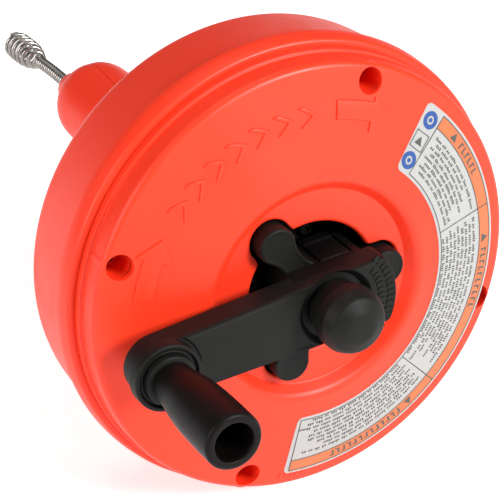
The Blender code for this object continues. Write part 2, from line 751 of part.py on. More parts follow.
def arm_outline():
    knob_half, hub_half = ARM_HALF_KNOB, ARM_HALF_HUB
    corner = math.degrees(math.asin(hub_half / PLATE_R))
    hub_end = arc((0, 0), PLATE_R, 180 - corner, 180 + corner, 6)
    knob_end = arc((KNOB_AT, 0), knob_half, -90, 90, 10)
    return [in_crank(u, v) for u, v in hub_end + knob_end]


def rounded_box(u0, u1, half, corner=5.0):
    centres = [
        (u1 - corner, half - corner),
        (u0 + corner, half - corner),
        (u0 + corner, corner - half),
        (u1 - corner, corner - half),
    ]
    points = []
    for quarter, centre in enumerate(centres):
        points += arc(centre, corner, 90 * quarter, 90 * quarter + 90, 3)
    return [in_crank(u, v) for u, v in points]


def crank_body():
    black = PLASTICS["black"]
    body = prism("crank_arm", arm_outline(), ARM_TOP - ARM_THICK, ARM_TOP, black, CRANK)
    adds = [prism("hub_block", rounded_box(-23.0, 17.5, 15.8), CRANK_FOOT, ARM_TOP - 6, black, CRANK)]
    for i in range(3):
        angle = math.pi / 3 + i * TAU / 3
        c, s = math.cos(angle), math.sin(angle)
        lobe = in_crank(LOBE_AT * c, LOBE_AT * s)
        adds.append(turn_tool(f"lobe_{i}", LOBE_R, CRANK_FOOT - 0.2, SPOKE_TOP, lobe, CRANK, 16))
        ends = [(10.0, -SPOKE_HALF), (LOBE_AT, -SPOKE_HALF), (LOBE_AT, SPOKE_HALF), (10.0, SPOKE_HALF)]
        spoke = [in_crank(u * c - v * s, u * s + v * c) for u, v in ends]
        adds.append(prism(f"spoke_{i}", spoke, CRANK_FOOT + 0.3, SPOKE_TOP - 0.02, black, CRANK))
    knob = in_crank(KNOB_AT, 0)
    collar = [
        (0, 45.2),
        (COLLAR_R, 45.2),
        (COLLAR_R, 55.2),
        (11.8, 55.2),
        (11.8, KNOB_BASE - GAP),
        (0, KNOB_BASE - GAP),
    ]
    adds.append(turned("knob_collar", collar, black, CRANK, 20, knob))
    combine(body, adds, "UNION")
    cuts = [
        turn_tool("insert_bore", 8.6, CRANK_FOOT - 5, 41.0, (0, 0), CRANK, 20),
        turn_tool("insert_screw_hole", 3.0, 38.0, 60.0, (0, 0), CRANK, 12),
        turn_tool("cap_pocket", 10.2, 43.4, 60.0, (0, 0), CRANK, 20),
        turn_tool("spindle_bore", 4.3, 30.0, 70.0, knob, CRANK, 16),
        turn_tool("nut_pocket", 7.2, 30.0, ARM_TOP - ARM_THICK + 5.4, knob, CRANK, 16),
    ]
    for side, name in ((1, "left"), (-1, "right")):
        near, far = TAB_FRONT + GAP, TAB_REAR - GAP
        window = [(far, 8.0), (near, 8.0), (near, 20.0), (far, 20.0)]
        outline = [in_crank(u, side * v) for u, v in window]
        cuts.append(prism(f"tab_window_{name}", outline, CRANK_FOOT - 3, TAB_TOP + GAP, black, CRANK))
    combine(body, cuts, "DIFFERENCE")
    return body


def release_tab(name, side):
    """A squeeze panel in the hub's side wall, hinged at its upper edge, with a grip ridge near its foot."""
    v = side * 15.8
    place = in_crank((TAB_FRONT + TAB_REAR) / 2, v - side * 1.2)
    hinge = empty(f"{name}_axis", CRANK, (*place, TAB_TOP - 1.0))
    hinge.rotation_euler = (0, 0, ARM_ANGLE)
    half = (TAB_FRONT - TAB_REAR) / 2 - 0.1
    foot = TAB_FOOT - TAB_TOP + 1.0
    side_view = [
        (1.2, 1.0),
        (-1.2, 1.0),
        (-1.2, foot),
        (1.2, foot),
        (1.2, foot + 3.5),
        (2.0, foot + 5.0),
        (1.2, foot + 6.5),
    ]
    points = [(side * v_off, z) for v_off, z in side_view]
    points = points if signed_area(points) > 0 else points[::-1]
    count = len(points)
    verts = [(-half, y, z) for y, z in points] + [(half, y, z) for y, z in points]
    faces = [list(range(count))[::-1], list(range(count, 2 * count))]
    faces += [[i, (i + 1) % count, count + (i + 1) % count, count + i] for i in range(count)]
    return solid(name, verts, faces, PLASTICS["black"], hinge)


def crank_parts():
    crank_body()
    release_tab("release_tab_left", 1)
    release_tab("release_tab_right", -1)
    slug = [(0, 13.4), (8.2, 13.4), (8.2, 40.6), (0, 40.6)]
    insert = turned("crank_insert", slug, METALS["steel"], CRANK, 20)
    socket = prism("insert_socket", hexagon(HEX_FLATS + 0.9), 5.0, 33.0, METALS["steel"], CRANK)
    thread = turn_tool("insert_thread", 2.4, 30.0, 45.0, (0, 0), CRANK, 10)
    combine(insert, [socket, thread], "DIFFERENCE")
    screw("insert_screw", 43.4 + GAP, 8.6, CRANK, (0, 0), 4.2, 2.2, 2.0)
    cap = [
        (0, 47.0),
        (9.8, 47.0),
        (9.8, ARM_TOP + GAP),
        (BOSS_ROOT_R, ARM_TOP + GAP),
        (14.1, 55.5),
        (14.7, 59.5),
        (14.6, 62.3),
        (14.0, 64.9),
        (12.6, 67.5),
        (10.0, 69.5),
        (6.0, 70.9),
        (0, BOSS_TOP),
    ]
    turned("crank_boss_cap", cap, PLASTICS["black"], CRANK, 24)


def knob_parts():
    place = in_crank(KNOB_AT, 0)
    axis = empty("knob_axis", CRANK, (*place, 0))
    floor = 70.6
    profile = [
        (KNOB_WAIST_R, KNOB_BASE),
        (KNOB_WAIST_R + 0.1, 61.0),
        (10.3, 66.0),
        (11.5, 74.0),
        (12.3, 84.0),
        (12.6, 96.0),
        (KNOB_R, 106.0),
        (KNOB_R - 0.3, 109.6),
        (KNOB_R - 1.1, KNOB_END),
        (KNOB_HOLE_R + 0.5, KNOB_END),
        (KNOB_HOLE_R, KNOB_END - 0.8),
        (KNOB_HOLE_R - 0.5, floor),
        (4.4, floor),
        (4.4, KNOB_BASE),
    ]
    turned("knob_sleeve", profile, PLASTICS["black"], axis, 24)
    washer = [(4.4, floor + GAP), (6.9, floor + GAP), (6.9, floor + 1.3), (4.4, floor + 1.3)]
    turned("knob_washer", washer, METALS["steel"], CRANK, 20, place)
    head = floor + 1.3 + GAP
    spindle = [
        (0, head + 1.6),
        (2.2, head + 1.6),
        (2.5, head + 3.6),
        (5.0, head + 3.6),
        (6.6, head + 2.4),
        (6.6, head),
        (4.0, head),
        (4.0, 38.6),
        (0, 38.6),
    ]
    turned("knob_spindle", spindle, METALS["steel"], CRANK, 16, place)
    nut = prism("knob_nut", hexagon(11.0), 38.4, 43.0, METALS["steel"], CRANK)
    nut.location = (place[0] * MM, place[1] * MM, 0)
    bore = turn_tool("knob_nut_bore", 4.3, 30.0, 50.0, (0, 0), nut, 16)
    combine(nut, [bore], "DIFFERENCE")


# ---------------------------------------------------------------- assembly


def lay_down():
    """Tilts the machine on to its rest edges and puts the origin under the middle of its outline."""
    SPIN.rotation_euler = (math.pi / 2 - REST_TILT, 0, 0)
    knob_low = KNOB_END * math.cos(REST_TILT) + KNOB_R * math.sin(REST_TILT)
    tip_low = (BULB_LENGTH - CABLE_TIP) * math.cos(REST_TILT)
    height = FLANGE_R * FLAT * math.cos(REST_TILT)
    SPIN.location = (0, (knob_low - tip_low) / 2 * MM, height * MM)


clear_scene()
PLASTICS = {
    "orange": finish_material("orange_plastic", (0.9, 0.07, 0.025), 0.45),
    "black": finish_material("black_plastic", (0.022, 0.022, 0.021), 0.5),
    "bearing": finish_material("bearing_plastic", (0.75, 0.73, 0.68), 0.5),
    "label": finish_material("label_film", (0.85, 0.85, 0.84), 0.35),
}
METALS = {
    "steel": finish_material("zinc_plated_steel", (0.55, 0.56, 0.57), 0.35, 1.0),
    "spring_steel": finish_material("spring_steel", (0.42, 0.41, 0.39), 0.35, 1.0),
    "zinc": finish_material("cast_zinc", (0.5, 0.5, 0.5), 0.5, 1.0),
}
SPIN = empty("spin_axis")
CRANK = empty("crank_axis", SPIN)
lay_down()
front_shell()
rear_cover()
drive_socket()
drive_parts()
cover_screws()
sticker()
stored_cable()
cable_end()
anchor()
CAVITY = grip_cavity()
PIN_HOLES = [cross_tool("grip_pin_hole", 2.3, TRIGGER_Y, TRIGGER_Z, -11.4, 11.4)]
for number, (hole_y, hole_z) in enumerate(GRIP_SCREWS):
    PIN_HOLES.append(cross_tool(f"grip_screw_hole_{number}", 2.1, hole_y, hole_z, -7.0, 20.0))
    PIN_HOLES.append(cross_tool(f"grip_screw_well_{number}", 4.4, hole_y, hole_z, 5.3, 40.0))
grip_parts()
roller_carrier()
trigger()
crank_parts()
knob_parts()
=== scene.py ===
"""The look of the hand-cranked drain snake: moulded shells, label, crank, cable and grip.

Lengths in the shapes are in millimetres. LOCAL has its origin at the middle of the drum's flange, Z along the
spin axis to the rear and Y up; CRANK is LOCAL turned so that X runs along the crank's arm.
"""

import json
import math
import random

import bmesh
import bpy
from mathutils import Matrix, Vector


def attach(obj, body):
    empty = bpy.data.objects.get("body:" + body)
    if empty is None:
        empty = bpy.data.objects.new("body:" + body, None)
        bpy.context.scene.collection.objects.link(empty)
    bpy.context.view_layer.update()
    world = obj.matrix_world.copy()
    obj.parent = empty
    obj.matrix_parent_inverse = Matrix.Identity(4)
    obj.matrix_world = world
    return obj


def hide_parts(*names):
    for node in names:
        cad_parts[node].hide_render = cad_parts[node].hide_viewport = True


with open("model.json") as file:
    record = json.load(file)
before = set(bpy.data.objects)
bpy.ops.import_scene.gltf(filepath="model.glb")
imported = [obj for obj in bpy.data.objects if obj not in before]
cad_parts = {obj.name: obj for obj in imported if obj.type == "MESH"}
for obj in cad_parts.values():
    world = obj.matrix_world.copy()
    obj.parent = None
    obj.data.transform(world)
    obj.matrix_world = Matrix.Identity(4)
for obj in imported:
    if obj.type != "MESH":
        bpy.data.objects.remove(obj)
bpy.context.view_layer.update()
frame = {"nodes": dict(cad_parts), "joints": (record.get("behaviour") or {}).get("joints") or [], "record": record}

TAU = 2 * math.pi
MM = 0.001
SQUARE = ((-1, -1), (1, -1), (1, 1), (-1, 1))

# ---------------------------------------------------------------- frames of reference

JOINTS = {joint["name"]: joint for joint in frame["joints"]}
AXIS = Vector(JOINTS["grip_spin"]["axis"]).normalized()
SIDE = Vector((1, 0, 0))
UP = AXIS.cross(SIDE)
FLANGE = Vector(JOINTS["grip_spin"]["pos_m"]) + AXIS * 0.1
LOCAL = Matrix.Translation(FLANGE) @ Matrix((SIDE, UP, AXIS)).transposed().to_4x4()
TO_LOCAL = LOCAL.inverted()

knob_centre = TO_LOCAL @ Vector(JOINTS["knob_spin"]["pos_m"])
ARM = math.atan2(knob_centre.y, knob_centre.x)
KNOB_AT = math.hypot(knob_centre.x, knob_centre.y) / MM
CRANK = LOCAL @ Matrix.Rotation(ARM, 4, "Z")


# ---------------------------------------------------------------- shader helpers


def new_material(name):
    material = bpy.data.materials.new(name)
    material.use_nodes = True
    nodes, links = material.node_tree.nodes, material.node_tree.links
    return material, nodes, links, nodes["Principled BSDF"]


def noise_node(nodes, links, source, scale, detail=4.0, roughness=0.5):
    node = nodes.new("ShaderNodeTexNoise")
    node.inputs["Scale"].default_value = scale
    node.inputs["Detail"].default_value = detail
    node.inputs["Roughness"].default_value = roughness
    links.new(source, node.inputs["Vector"])
    return node


def ramp_node(nodes, links, source, stops):
    node = nodes.new("ShaderNodeValToRGB")
    while len(node.color_ramp.elements) < len(stops):
        node.color_ramp.elements.new(0.5)
    for element, (place, colour) in zip(node.color_ramp.elements, stops):
        element.position = place
        element.color = (*colour, 1.0) if len(colour) == 3 else colour
    links.new(source, node.inputs["Fac"])
    return node


def map_range(nodes, links, source, low, high, from_low=0.3, from_high=0.7):
    node = nodes.new("ShaderNodeMapRange")
    node.inputs["From Min"].default_value = from_low
    node.inputs["From Max"].default_value = from_high
    node.inputs["To Min"].default_value = low
    node.inputs["To Max"].default_value = high
    links.new(source, node.inputs["Value"])
    return node


def add_bump(nodes, links, shader, height, strength, distance, under=None):
    node = nodes.new("ShaderNodeBump")
    node.inputs["Strength"].default_value = strength
    node.inputs["Distance"].default_value = distance
    links.new(height, node.inputs["Height"])
    if under is not None:
        links.new(under.outputs["Normal"], node.inputs["Normal"])
    links.new(node.outputs["Normal"], shader.inputs["Normal"])
    return node


def moulded_plastic(name, dark, light, rough, grain, grain_depth, scuff=0.5, specular=0.5):
    """Moulded plastic: slight cloudiness in the colour, a spark-eroded grain and a few fine scuffs."""
    material, nodes, links, shader = new_material(name)
    place = nodes.new("ShaderNodeTexCoord").outputs["Object"]
    cloud = noise_node(nodes, links, place, 14.0, 3.0)
    colour = ramp_node(nodes, links, cloud.outputs["Fac"], [(0.3, dark), (0.7, light)])
    links.new(colour.outputs["Color"], shader.inputs["Base Color"])
    patches = noise_node(nodes, links, place, 55.0, 6.0, 0.6)
    roughness = map_range(nodes, links, patches.outputs["Fac"], rough - 0.05, rough + 0.07)
    links.new(roughness.outputs["Result"], shader.inputs["Roughness"])
    shader.inputs["Specular IOR Level"].default_value = specular
    pits = nodes.new("ShaderNodeTexVoronoi")
    pits.inputs["Scale"].default_value = grain
    links.new(place, pits.inputs["Vector"])
    ripple = noise_node(nodes, links, place, grain * 0.7, 3.0, 0.6)
    mixed = nodes.new("ShaderNodeMix")
    mixed.inputs["Factor"].default_value = 0.5
    links.new(pits.outputs["Distance"], mixed.inputs["A"])
    links.new(ripple.outputs["Fac"], mixed.inputs["B"])
    fine = add_bump(nodes, links, shader, mixed.outputs["Result"], grain_depth, 0.00012)
    stretch = nodes.new("ShaderNodeMapping")
    stretch.inputs["Scale"].default_value = (30.0, 400.0, 30.0)
    stretch.inputs["Rotation"].default_value = (0.4, 0.2, 0.9)
    links.new(place, stretch.inputs["Vector"])
    lines = noise_node(nodes, links, stretch.outputs["Vector"], 1.0, 2.0)
    marks = ramp_node(nodes, links, lines.outputs["Fac"], [(0.68, (0, 0, 0)), (0.74, (1, 1, 1))])
    add_bump(nodes, links, shader, marks.outputs["Color"], 0.06 * scuff, 0.0001, fine)
    return material


def plated_steel(name, dark, light, rough, streak=(40.0, 40.0, 600.0)):
    """Bright metal with drawn streaks and patchy dullness."""
    material, nodes, links, shader = new_material(name)
    shader.inputs["Metallic"].default_value = 1.0
    place = nodes.new("ShaderNodeTexCoord").outputs["Object"]
    stretch = nodes.new("ShaderNodeMapping")
    stretch.inputs["Scale"].default_value = streak
    links.new(place, stretch.inputs["Vector"])
    lines = noise_node(nodes, links, stretch.outputs["Vector"], 3.0, 5.0, 0.6)
    dull = noise_node(nodes, links, place, 160.0, 5.0, 0.6)
    colour = ramp_node(nodes, links, dull.outputs["Fac"], [(0.3, dark), (0.7, light)])
    links.new(colour.outputs["Color"], shader.inputs["Base Color"])
    roughness = map_range(nodes, links, lines.outputs["Fac"], rough - 0.08, rough + 0.12)
    links.new(roughness.outputs["Result"], shader.inputs["Roughness"])
    add_bump(nodes, links, shader, lines.outputs["Fac"], 0.15, 0.00008)
    return material


def printed_film(name, colour, rough=0.38, mottle=0.03):
    """Printed label film: flat ink with a faint mottle and a slightly wavy surface."""
    material, nodes, links, shader = new_material(name)
    place = nodes.new("ShaderNodeTexCoord").outputs["Object"]
    spots = noise_node(nodes, links, place, 700.0, 3.0)
    darker = tuple(c * (1 - mottle * 2) for c in colour)
    ink = ramp_node(nodes, links, spots.outputs["Fac"], [(0.35, darker), (0.65, colour)])
    links.new(ink.outputs["Color"], shader.inputs["Base Color"])
    wave = noise_node(nodes, links, place, 60.0, 2.0)
    gloss = map_range(nodes, links, wave.outputs["Fac"], rough - 0.04, rough + 0.06)
    links.new(gloss.outputs["Result"], shader.inputs["Roughness"])
    add_bump(nodes, links, shader, wave.outputs["Fac"], 0.08, 0.0003)
    return material


ORANGE = moulded_plastic(
    "orange_moulded", (0.84, 0.036, 0.010), (0.90, 0.042, 0.013), 0.40, 1300.0, 0.25, 0.5, 0.30)
BLACK = moulded_plastic(
    "black_moulded", (0.0042, 0.0042, 0.0036), (0.0072, 0.0072, 0.0062), 0.52, 1700.0, 0.35, 0.8, 0.17)
SOCKET_BLACK = moulded_plastic(
    "socket_moulded", (0.0040, 0.0034, 0.0032), (0.0065, 0.0055, 0.0050), 0.45, 1700.0, 0.3, 0.6, 0.14)
KNOB_BLACK = moulded_plastic(
    "knob_moulded", (0.0032, 0.0024, 0.0020), (0.0056, 0.0044, 0.0038), 0.42, 2200.0, 0.18, 0.5, 0.12)
BEARING = moulded_plastic("bearing_turned", (0.62, 0.6, 0.55), (0.72, 0.7, 0.65), 0.4, 2000.0, 0.1)
STEEL = plated_steel("zinc_plated", (0.46, 0.47, 0.48), (0.62, 0.63, 0.64), 0.32)
# Nearly black steel: painted shade for the screws and hub parts that sit deep in the socket and the screw wells.
SHADE_PAINTED_STEEL = plated_steel("steel_painted_shade", (0.030, 0.028, 0.027), (0.055, 0.052, 0.050), 0.45)
CABLE_WIRE = plated_steel("cable_wire", (0.22, 0.20, 0.18), (0.36, 0.33, 0.30), 0.30, (300.0, 300.0, 900.0))
WIRE = plated_steel("spring_wire", (0.26, 0.245, 0.225), (0.42, 0.40, 0.37), 0.26, (300.0, 300.0, 900.0))
CAST = plated_steel("cast_zinc", (0.36, 0.36, 0.36), (0.5, 0.5, 0.5), 0.5, (120.0, 120.0, 120.0))
LABEL_WHITE = printed_film("label_white", (0.37, 0.37, 0.36))
LABEL_ORANGE = printed_film("label_orange", (0.50, 0.125, 0.034))
LABEL_INK = printed_film("label_ink", (0.055, 0.053, 0.051))
LABEL_BLUE = printed_film("label_blue", (0.006, 0.055, 0.24))


# ---------------------------------------------------------------- mesh helpers


def piece(name, verts, faces, material, body, slot, replaces=(), place=LOCAL, sharp=32):
    """A mesh given in millimetres in the drum's or the crank's frame, riding on a body."""
    mesh = bpy.data.meshes.new(name)
    mesh.from_pydata([[c * MM for c in vert] for vert in verts], [], faces)
    shell = bmesh.new()
    shell.from_mesh(mesh)
    bmesh.ops.recalc_face_normals(shell, faces=shell.faces)
    shell.to_mesh(mesh)
    shell.free()
    mesh.materials.append(material)
    obj = bpy.data.objects.new(name, mesh)
    bpy.context.scene.collection.objects.link(obj)
    obj.matrix_world = place
    smooth(obj, sharp)
    if body:
        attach(obj, body)
        if replaces:
            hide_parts(*replaces)
    return obj


def smooth(obj, sharp=32):
    """Smooth shading, with edges sharper than an angle in degrees kept sharp."""
    obj.data.shade_smooth()
    obj.data.set_sharp_from_angle(angle=math.radians(sharp))


def apply_modifiers(obj):
    """Bakes the modifiers into the mesh."""
    bpy.context.view_layer.update()
    graph = bpy.context.evaluated_depsgraph_get()
    obj.data = bpy.data.meshes.new_from_object(obj.evaluated_get(graph), depsgraph=graph)
    obj.modifiers.clear()


def flat_normals(obj):
    """Keeps broad flat faces flat next to small rounded edges."""
    modifier = obj.modifiers.new("weighted", "WEIGHTED_NORMAL")
    modifier.keep_sharp = True
    modifier.weight = 80
    apply_modifiers(obj)


def cut(obj, cutters):
    """Takes the cutters away from the piece, and removes them."""
    for cutter in cutters:
        modifier = obj.modifiers.new("cut", "BOOLEAN")
        modifier.operation = "DIFFERENCE"
        modifier.solver = "EXACT"
        modifier.object = cutter
    apply_modifiers(obj)
    for cutter in cutters:
        bpy.data.objects.remove(cutter)


def polar(radius, angle):
    """The point at a distance and direction from the axis."""
    return radius * math.cos(angle), radius * math.sin(angle)


def rounded(points, closed=True, steps=6):
    """Turns (x, y, radius) corners into a line with round corners."""
    out = []
    count = len(points)
    for i, (x, y, radius) in enumerate(points):
        here = Vector((x, y))
        if radius <= 0 or (not closed and i in (0, count - 1)):
            out.append((x, y))
            continue
        before = (Vector(points[i - 1][:2]) - here)
        after = (Vector(points[(i + 1) % count][:2]) - here)
        half = before.angle(after) / 2
        reach = min(radius / math.tan(half), before.length * 0.49, after.length * 0.49)
        radius = reach * math.tan(half)
        start, end = here + before.normalized() * reach, here + after.normalized() * reach
        centre = here + (before.normalized() + after.normalized()).normalized() * (radius / math.sin(half))
        a0 = math.atan2(*(start - centre).yx)
        a1 = math.atan2(*(end - centre).yx)
        turn = (a1 - a0 + math.pi) % TAU - math.pi
        out += [tuple(centre + Vector(polar(radius, a0 + turn * k / steps))) for k in range(steps + 1)]
    return out


def lathe_mesh(profile, segments, centre=(0, 0), closed=True):
    """Verts and faces of a profile of (radius, z) points turned about Z; radius 0 makes a pole."""
    verts, rings = [], []
    for radius, z in profile:
        count = 1 if radius < 1e-6 else segments
        rings.append((len(verts), count))
        for i in range(count):
            angle = TAU * i / segments
            verts.append((centre[0] + radius * math.cos(angle), centre[1] + radius * math.sin(angle), z))
    faces = []
    pairs = list(zip(rings, rings[1:]))
    if closed:
        pairs.append((rings[-1], rings[0]))
    for (low, nlow), (high, nhigh) in pairs:
        for i in range(segments):
            j = (i + 1) % segments
            face = [low + i % nlow, low + j % nlow, high + j % nhigh, high + i % nhigh]
            face = list(dict.fromkeys(face))
            if len(face) > 2:
                faces.append(face)
    return verts, faces


def lathe(name, profile, material, body, slot, replaces=(), segments=128, centre=(0, 0), place=LOCAL,
          closed=True):
    """A piece turned about the axis at its centre."""
    verts, faces = lathe_mesh(profile, segments, centre, closed)
    return piece(name, verts, faces, material, body, slot, replaces, place)


def cutter(profile, segments=64, centre=(0, 0), place=LOCAL):
    """A turned solid that cut() takes away."""
    verts, faces = lathe_mesh(profile, segments, centre, False)
    return piece("cutter", verts, faces, BLACK, None, None, (), place)


def stacked(rings):
    """Verts and faces of a capped skin through rings that have the same number of points."""
    count = len(rings[0])
    verts = [point for ring in rings for point in ring]
    faces = []
    for k in range(len(rings) - 1):
        for i in range(count):
            j = (i + 1) % count
            faces.append([k * count + i, k * count + j, (k + 1) * count + j, (k + 1) * count + i])
    faces.append(list(range(count))[::-1])
    faces.append(list(range((len(rings) - 1) * count, len(rings) * count)))
    return verts, faces


def winding(outline):
    """1 for an outline that runs anticlockwise, -1 for one that runs clockwise."""
    pairs = zip(outline[-1:] + outline[:-1], outline)
    area = sum(before[0] * here[1] - here[0] * before[1] for before, here in pairs)
    return 1 if area > 0 else -1


def inset(outline, distance):
    """Moves a closed outline of close-set points inwards by a small distance."""
    count = len(outline)
    side = winding(outline)
    out = []
    for i in range(count):
        before, after = Vector(outline[i - 1]), Vector(outline[(i + 1) % count])
        along = (after - before).normalized()
        out.append(tuple(Vector(outline[i]) + Vector((-along.y, along.x)) * distance * side))
    return out


def resample(outline, step):
    """Spreads points evenly along a closed outline."""
    out = []
    count = len(outline)
    for i in range(count):
        a, b = Vector(outline[i]), Vector(outline[(i + 1) % count])
        parts = max(1, round((b - a).length / step))
        out += [tuple(a.lerp(b, k / parts)) for k in range(parts)]
    return out


def mitred(outline, distance):
    """Moves the sides of a closed outline inwards, keeping its corners sharp."""
    count = len(outline)
    side = winding(outline)
    out = []
    for i in range(count):
        here = Vector(outline[i])
        into = (here - Vector(outline[i - 1])).normalized()
        away = (Vector(outline[(i + 1) % count]) - here).normalized()
        first, second = Vector((-into.y, into.x)), Vector((-away.y, away.x))
        out.append(tuple(here + (first + second) / max(1 + first.dot(second), 0.25) * distance * side))
    return out


def raised_shape(outline, low, high, edge, steps=4):
    """A flat shape with sharp corners whose top edge is rounded over."""
    rings = [[(x, y, low) for x, y in outline]]
    for k in range(steps + 1):
        angle = math.pi / 2 * k / steps
        line = mitred(outline, edge * (1 - math.cos(angle)))
        rings.append([(x, y, high - edge + edge * math.sin(angle)) for x, y in line])
    return stacked(rings)


def swept_rows(rows, count):
    """Verts and faces of a closed skin whose rows give (radius, z) for a direction from the axis."""
    verts = []
    for row in rows:
        for i in range(count):
            angle = TAU * i / count
            radius, z = row(angle)
            verts.append((*polar(radius, angle), z))
    faces = []
    for k in range(len(rows)):
        low, high = k * count, (k + 1) % len(rows) * count
        for i in range(count):
            j = (i + 1) % count
            faces.append([low + i, low + j, high + j, high + i])
    return verts, faces


def finish_piece(obj, sharp, body, replaces=()):
    """Shades a piece that was cut, binds it to its body, and hides the parts that it replaces."""
    smooth(obj, sharp)
    flat_normals(obj)
    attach(obj, body)
    if replaces:
        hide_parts(*replaces)


def join(parts):
    """Several (verts, faces) as one."""
    verts, faces = [], []
    for part_verts, part_faces in parts:
        base = len(verts)
        verts += part_verts
        faces += [[base + i for i in face] for face in part_faces]
    return verts, faces


def tube_mesh(path, radius, sides=12):
    """Verts and faces of a tube along close-set points. radius is a number or one for each point."""
    path = [Vector(point) for point in path]
    radii = radius if isinstance(radius, list) else [radius] * len(path)
    verts = []
    side = (path[1] - path[0]).orthogonal().normalized()
    for i, point in enumerate(path):
        tangent = (path[min(i + 1, len(path) - 1)] - path[max(i - 1, 0)]).normalized()
        side = (side - tangent * side.dot(tangent)).normalized()
        other = tangent.cross(side)
        for k in range(sides):
            angle = TAU * k / sides
            verts.append(point + radii[i] * (side * math.cos(angle) + other * math.sin(angle)))
    faces = []
    for i in range(len(path) - 1):
        for k in range(sides):
            m = (k + 1) % sides
            faces.append([i * sides + k, i * sides + m, (i + 1) * sides + m, (i + 1) * sides + k])
    faces.append(list(range(sides))[::-1])
    faces.append(list(range((len(path) - 1) * sides, len(path) * sides)))
    return [tuple(v) for v in verts], faces


# ---------------------------------------------------------------- drum

FLANGE_R = 104.85
CREST_R = 51.8
CREST_Z = 33.9
CONE_SLOPE = 0.215
DISH_Z = 29.0
WELL_R = 92.0
WELL_HOLE = 5.75
WELL_FLOOR = 11.0
WELL_ANGLES = [math.radians(67.8 + 90 * i) for i in range(4)]
SOCKET_CORE, LOBE_HALF, LOBE_END = 30.0, 9.8, 42.3
CUP_CORE, CUP_LOBE_HALF, CUP_LOBE_END = 32.6, 12.3, 44.8
SOCKET_FLOOR = 8.0
DISH_INNER = 44.2
LIP = 1.7


def cover_z(radius):
    """Height of the cover's cone at a distance from the axis."""
    return CREST_Z - CONE_SLOPE * (radius - CREST_R)


def on_cover(mesh):
    """Lays a flat mesh, whose z is its lift, on the cover's cone."""
    verts, faces = mesh
    return [(x, y, cover_z(math.hypot(x, y)) + z) for x, y, z in verts], faces


def front_shell():
    """The drum's front: flange, side wall, rounded front and neck."""
    profile = rounded([
        (100.2, 7.0, 0.1), (100.2, 8.6, 0.25), (103.7, 8.5, 2.6), (104.7, 3.0, 3.0), (FLANGE_R, -0.1, 0.35),
        (103.2, -0.8, 0.5), (100.2, -40.0, 8.5), (30.0, -40.0, 8.0), (20.0, -42.2, 4.0),
        (15.0, -43.4, 1.0), (15.0, -45.5, 0.5), (12.0, -45.5, 0.4), (12.0, -92.0, 0.8),
        (6.0, -92.0, 0.8), (6.0, -37.0, 1.0), (97.4, -37.0, 6.0), (97.4, -4.9, 0.2), (100.2, -4.9, 0.2),
    ])
    lathe("drum_front", profile, ORANGE, "drum", "orange_shell", ["front_shell"], 224)


def smooth_max(a, b, blend):
    """The greater of two values, with a soft change from one to the other."""
    share = max(blend - abs(a - b), 0.0) / blend
    return max(a, b) + share * share * blend * 0.25


def lobed(angle, core, half, end):
    """Distance from the axis to the edge of a circle with three lobes, in a direction."""
    centre = end - half
    best = core
    for k in range(3):
        away = (angle - ARM - math.pi / 3 - k * TAU / 3 + math.pi) % TAU - math.pi
        if abs(away) >= math.pi / 2:
            continue
        across = abs(math.sin(away))
        cap = centre * across
        if cap < half:
            reach = centre * math.cos(away) + math.sqrt(half * half - cap * cap)
            if reach * math.cos(away) < centre:
                reach = half / max(across, 1e-6)
        else:
            reach = half / across
        best = max(best, smooth_max(core, reach, 3.0)) if reach > core - 3 else best
    return best


def socket_r(angle):
    """Distance from the axis to the edge of the crank's socket."""
    return lobed(angle, SOCKET_CORE, LOBE_HALF, LOBE_END)


def rear_cover():
    """The cover: skirt, rounded edge, cone, dish, rolled lip round the socket, and the wells' liners."""
    edge = rounded([
        (99.5, -4.4, 0.3), (99.5, 8.9, 0.15), (100.8, 8.9, 0.2), (100.8, 12.5, 0.45), (99.4, 12.9, 0.4),
        (99.4, cover_z(99.4), 3.3), (50.3, cover_z(50.3), 5.0), (45.4, DISH_Z, 1.4), (DISH_INNER, DISH_Z, 0),
    ], False, 8)
    rows = [lambda a, r=r, z=z: (r, z) for r, z in edge]

    def lip_r(angle):
        return min(socket_r(angle) + LIP, DISH_INNER - 0.1)

    for share in (0.3, 0.65, 1.0):
        rows.append(lambda a, s=share: (DISH_INNER + (lip_r(a) - DISH_INNER) * s, DISH_Z))
    for k in range(1, 7):
        bend = math.pi / 2 * k / 6
        rows.append(lambda a, b=bend: (lip_r(a) - LIP * math.sin(b), DISH_Z - LIP * (1 - math.cos(b))))
    rows.append(lambda a: (socket_r(a), 26.45))
    rows.append(lambda a: (socket_r(a) + 2.0, 26.4))
    rows += [lambda a, r=r, z=z: (r, z) for r, z in
             ((47.4, 26.4), (52.4, 31.0), (94.6, 22.0), (96.6, 19.5), (97.7, 10.0), (97.7, -4.4))]
    cover = piece("drum_cover", *swept_rows(rows, 720), ORANGE, None, None)
    bore = [(0, WELL_FLOOR + 1), (WELL_HOLE, WELL_FLOOR + 1), (WELL_HOLE, 33.0), (0, 33.0)]
    cut(cover, [cutter(bore, 64, polar(WELL_R, angle)) for angle in WELL_ANGLES])
    bevel = cover.modifiers.new("well_edges", "BEVEL")
    bevel.width = 0.55 * MM
    bevel.segments = 3
    bevel.limit_method = "ANGLE"
    bevel.angle_limit = math.radians(55)
    apply_modifiers(cover)
    finish_piece(cover, 40, "drum", ["rear_cover"])
    wells = []
    for angle in WELL_ANGLES:
        centre = polar(WELL_R, angle)
        tube = rounded([(5.72, 20.5, 0), (5.78, WELL_FLOOR, 0.4), (2.1, WELL_FLOOR, 0), (2.1, 8.4, 0),
                        (7.6, 8.4, 0), (7.6, 20.5, 0)], False, 4)
        verts, faces = lathe_mesh(tube, 48, centre)
        for i, (x, y, z) in enumerate(verts):
            if z > 20.0:
                verts[i] = (x, y, min(cover_z(math.hypot(x, y)), 24.2) - 1.4)
        wells.append((verts, faces))
    piece("screw_wells", *join(wells), ORANGE, "drum", "orange_shell")


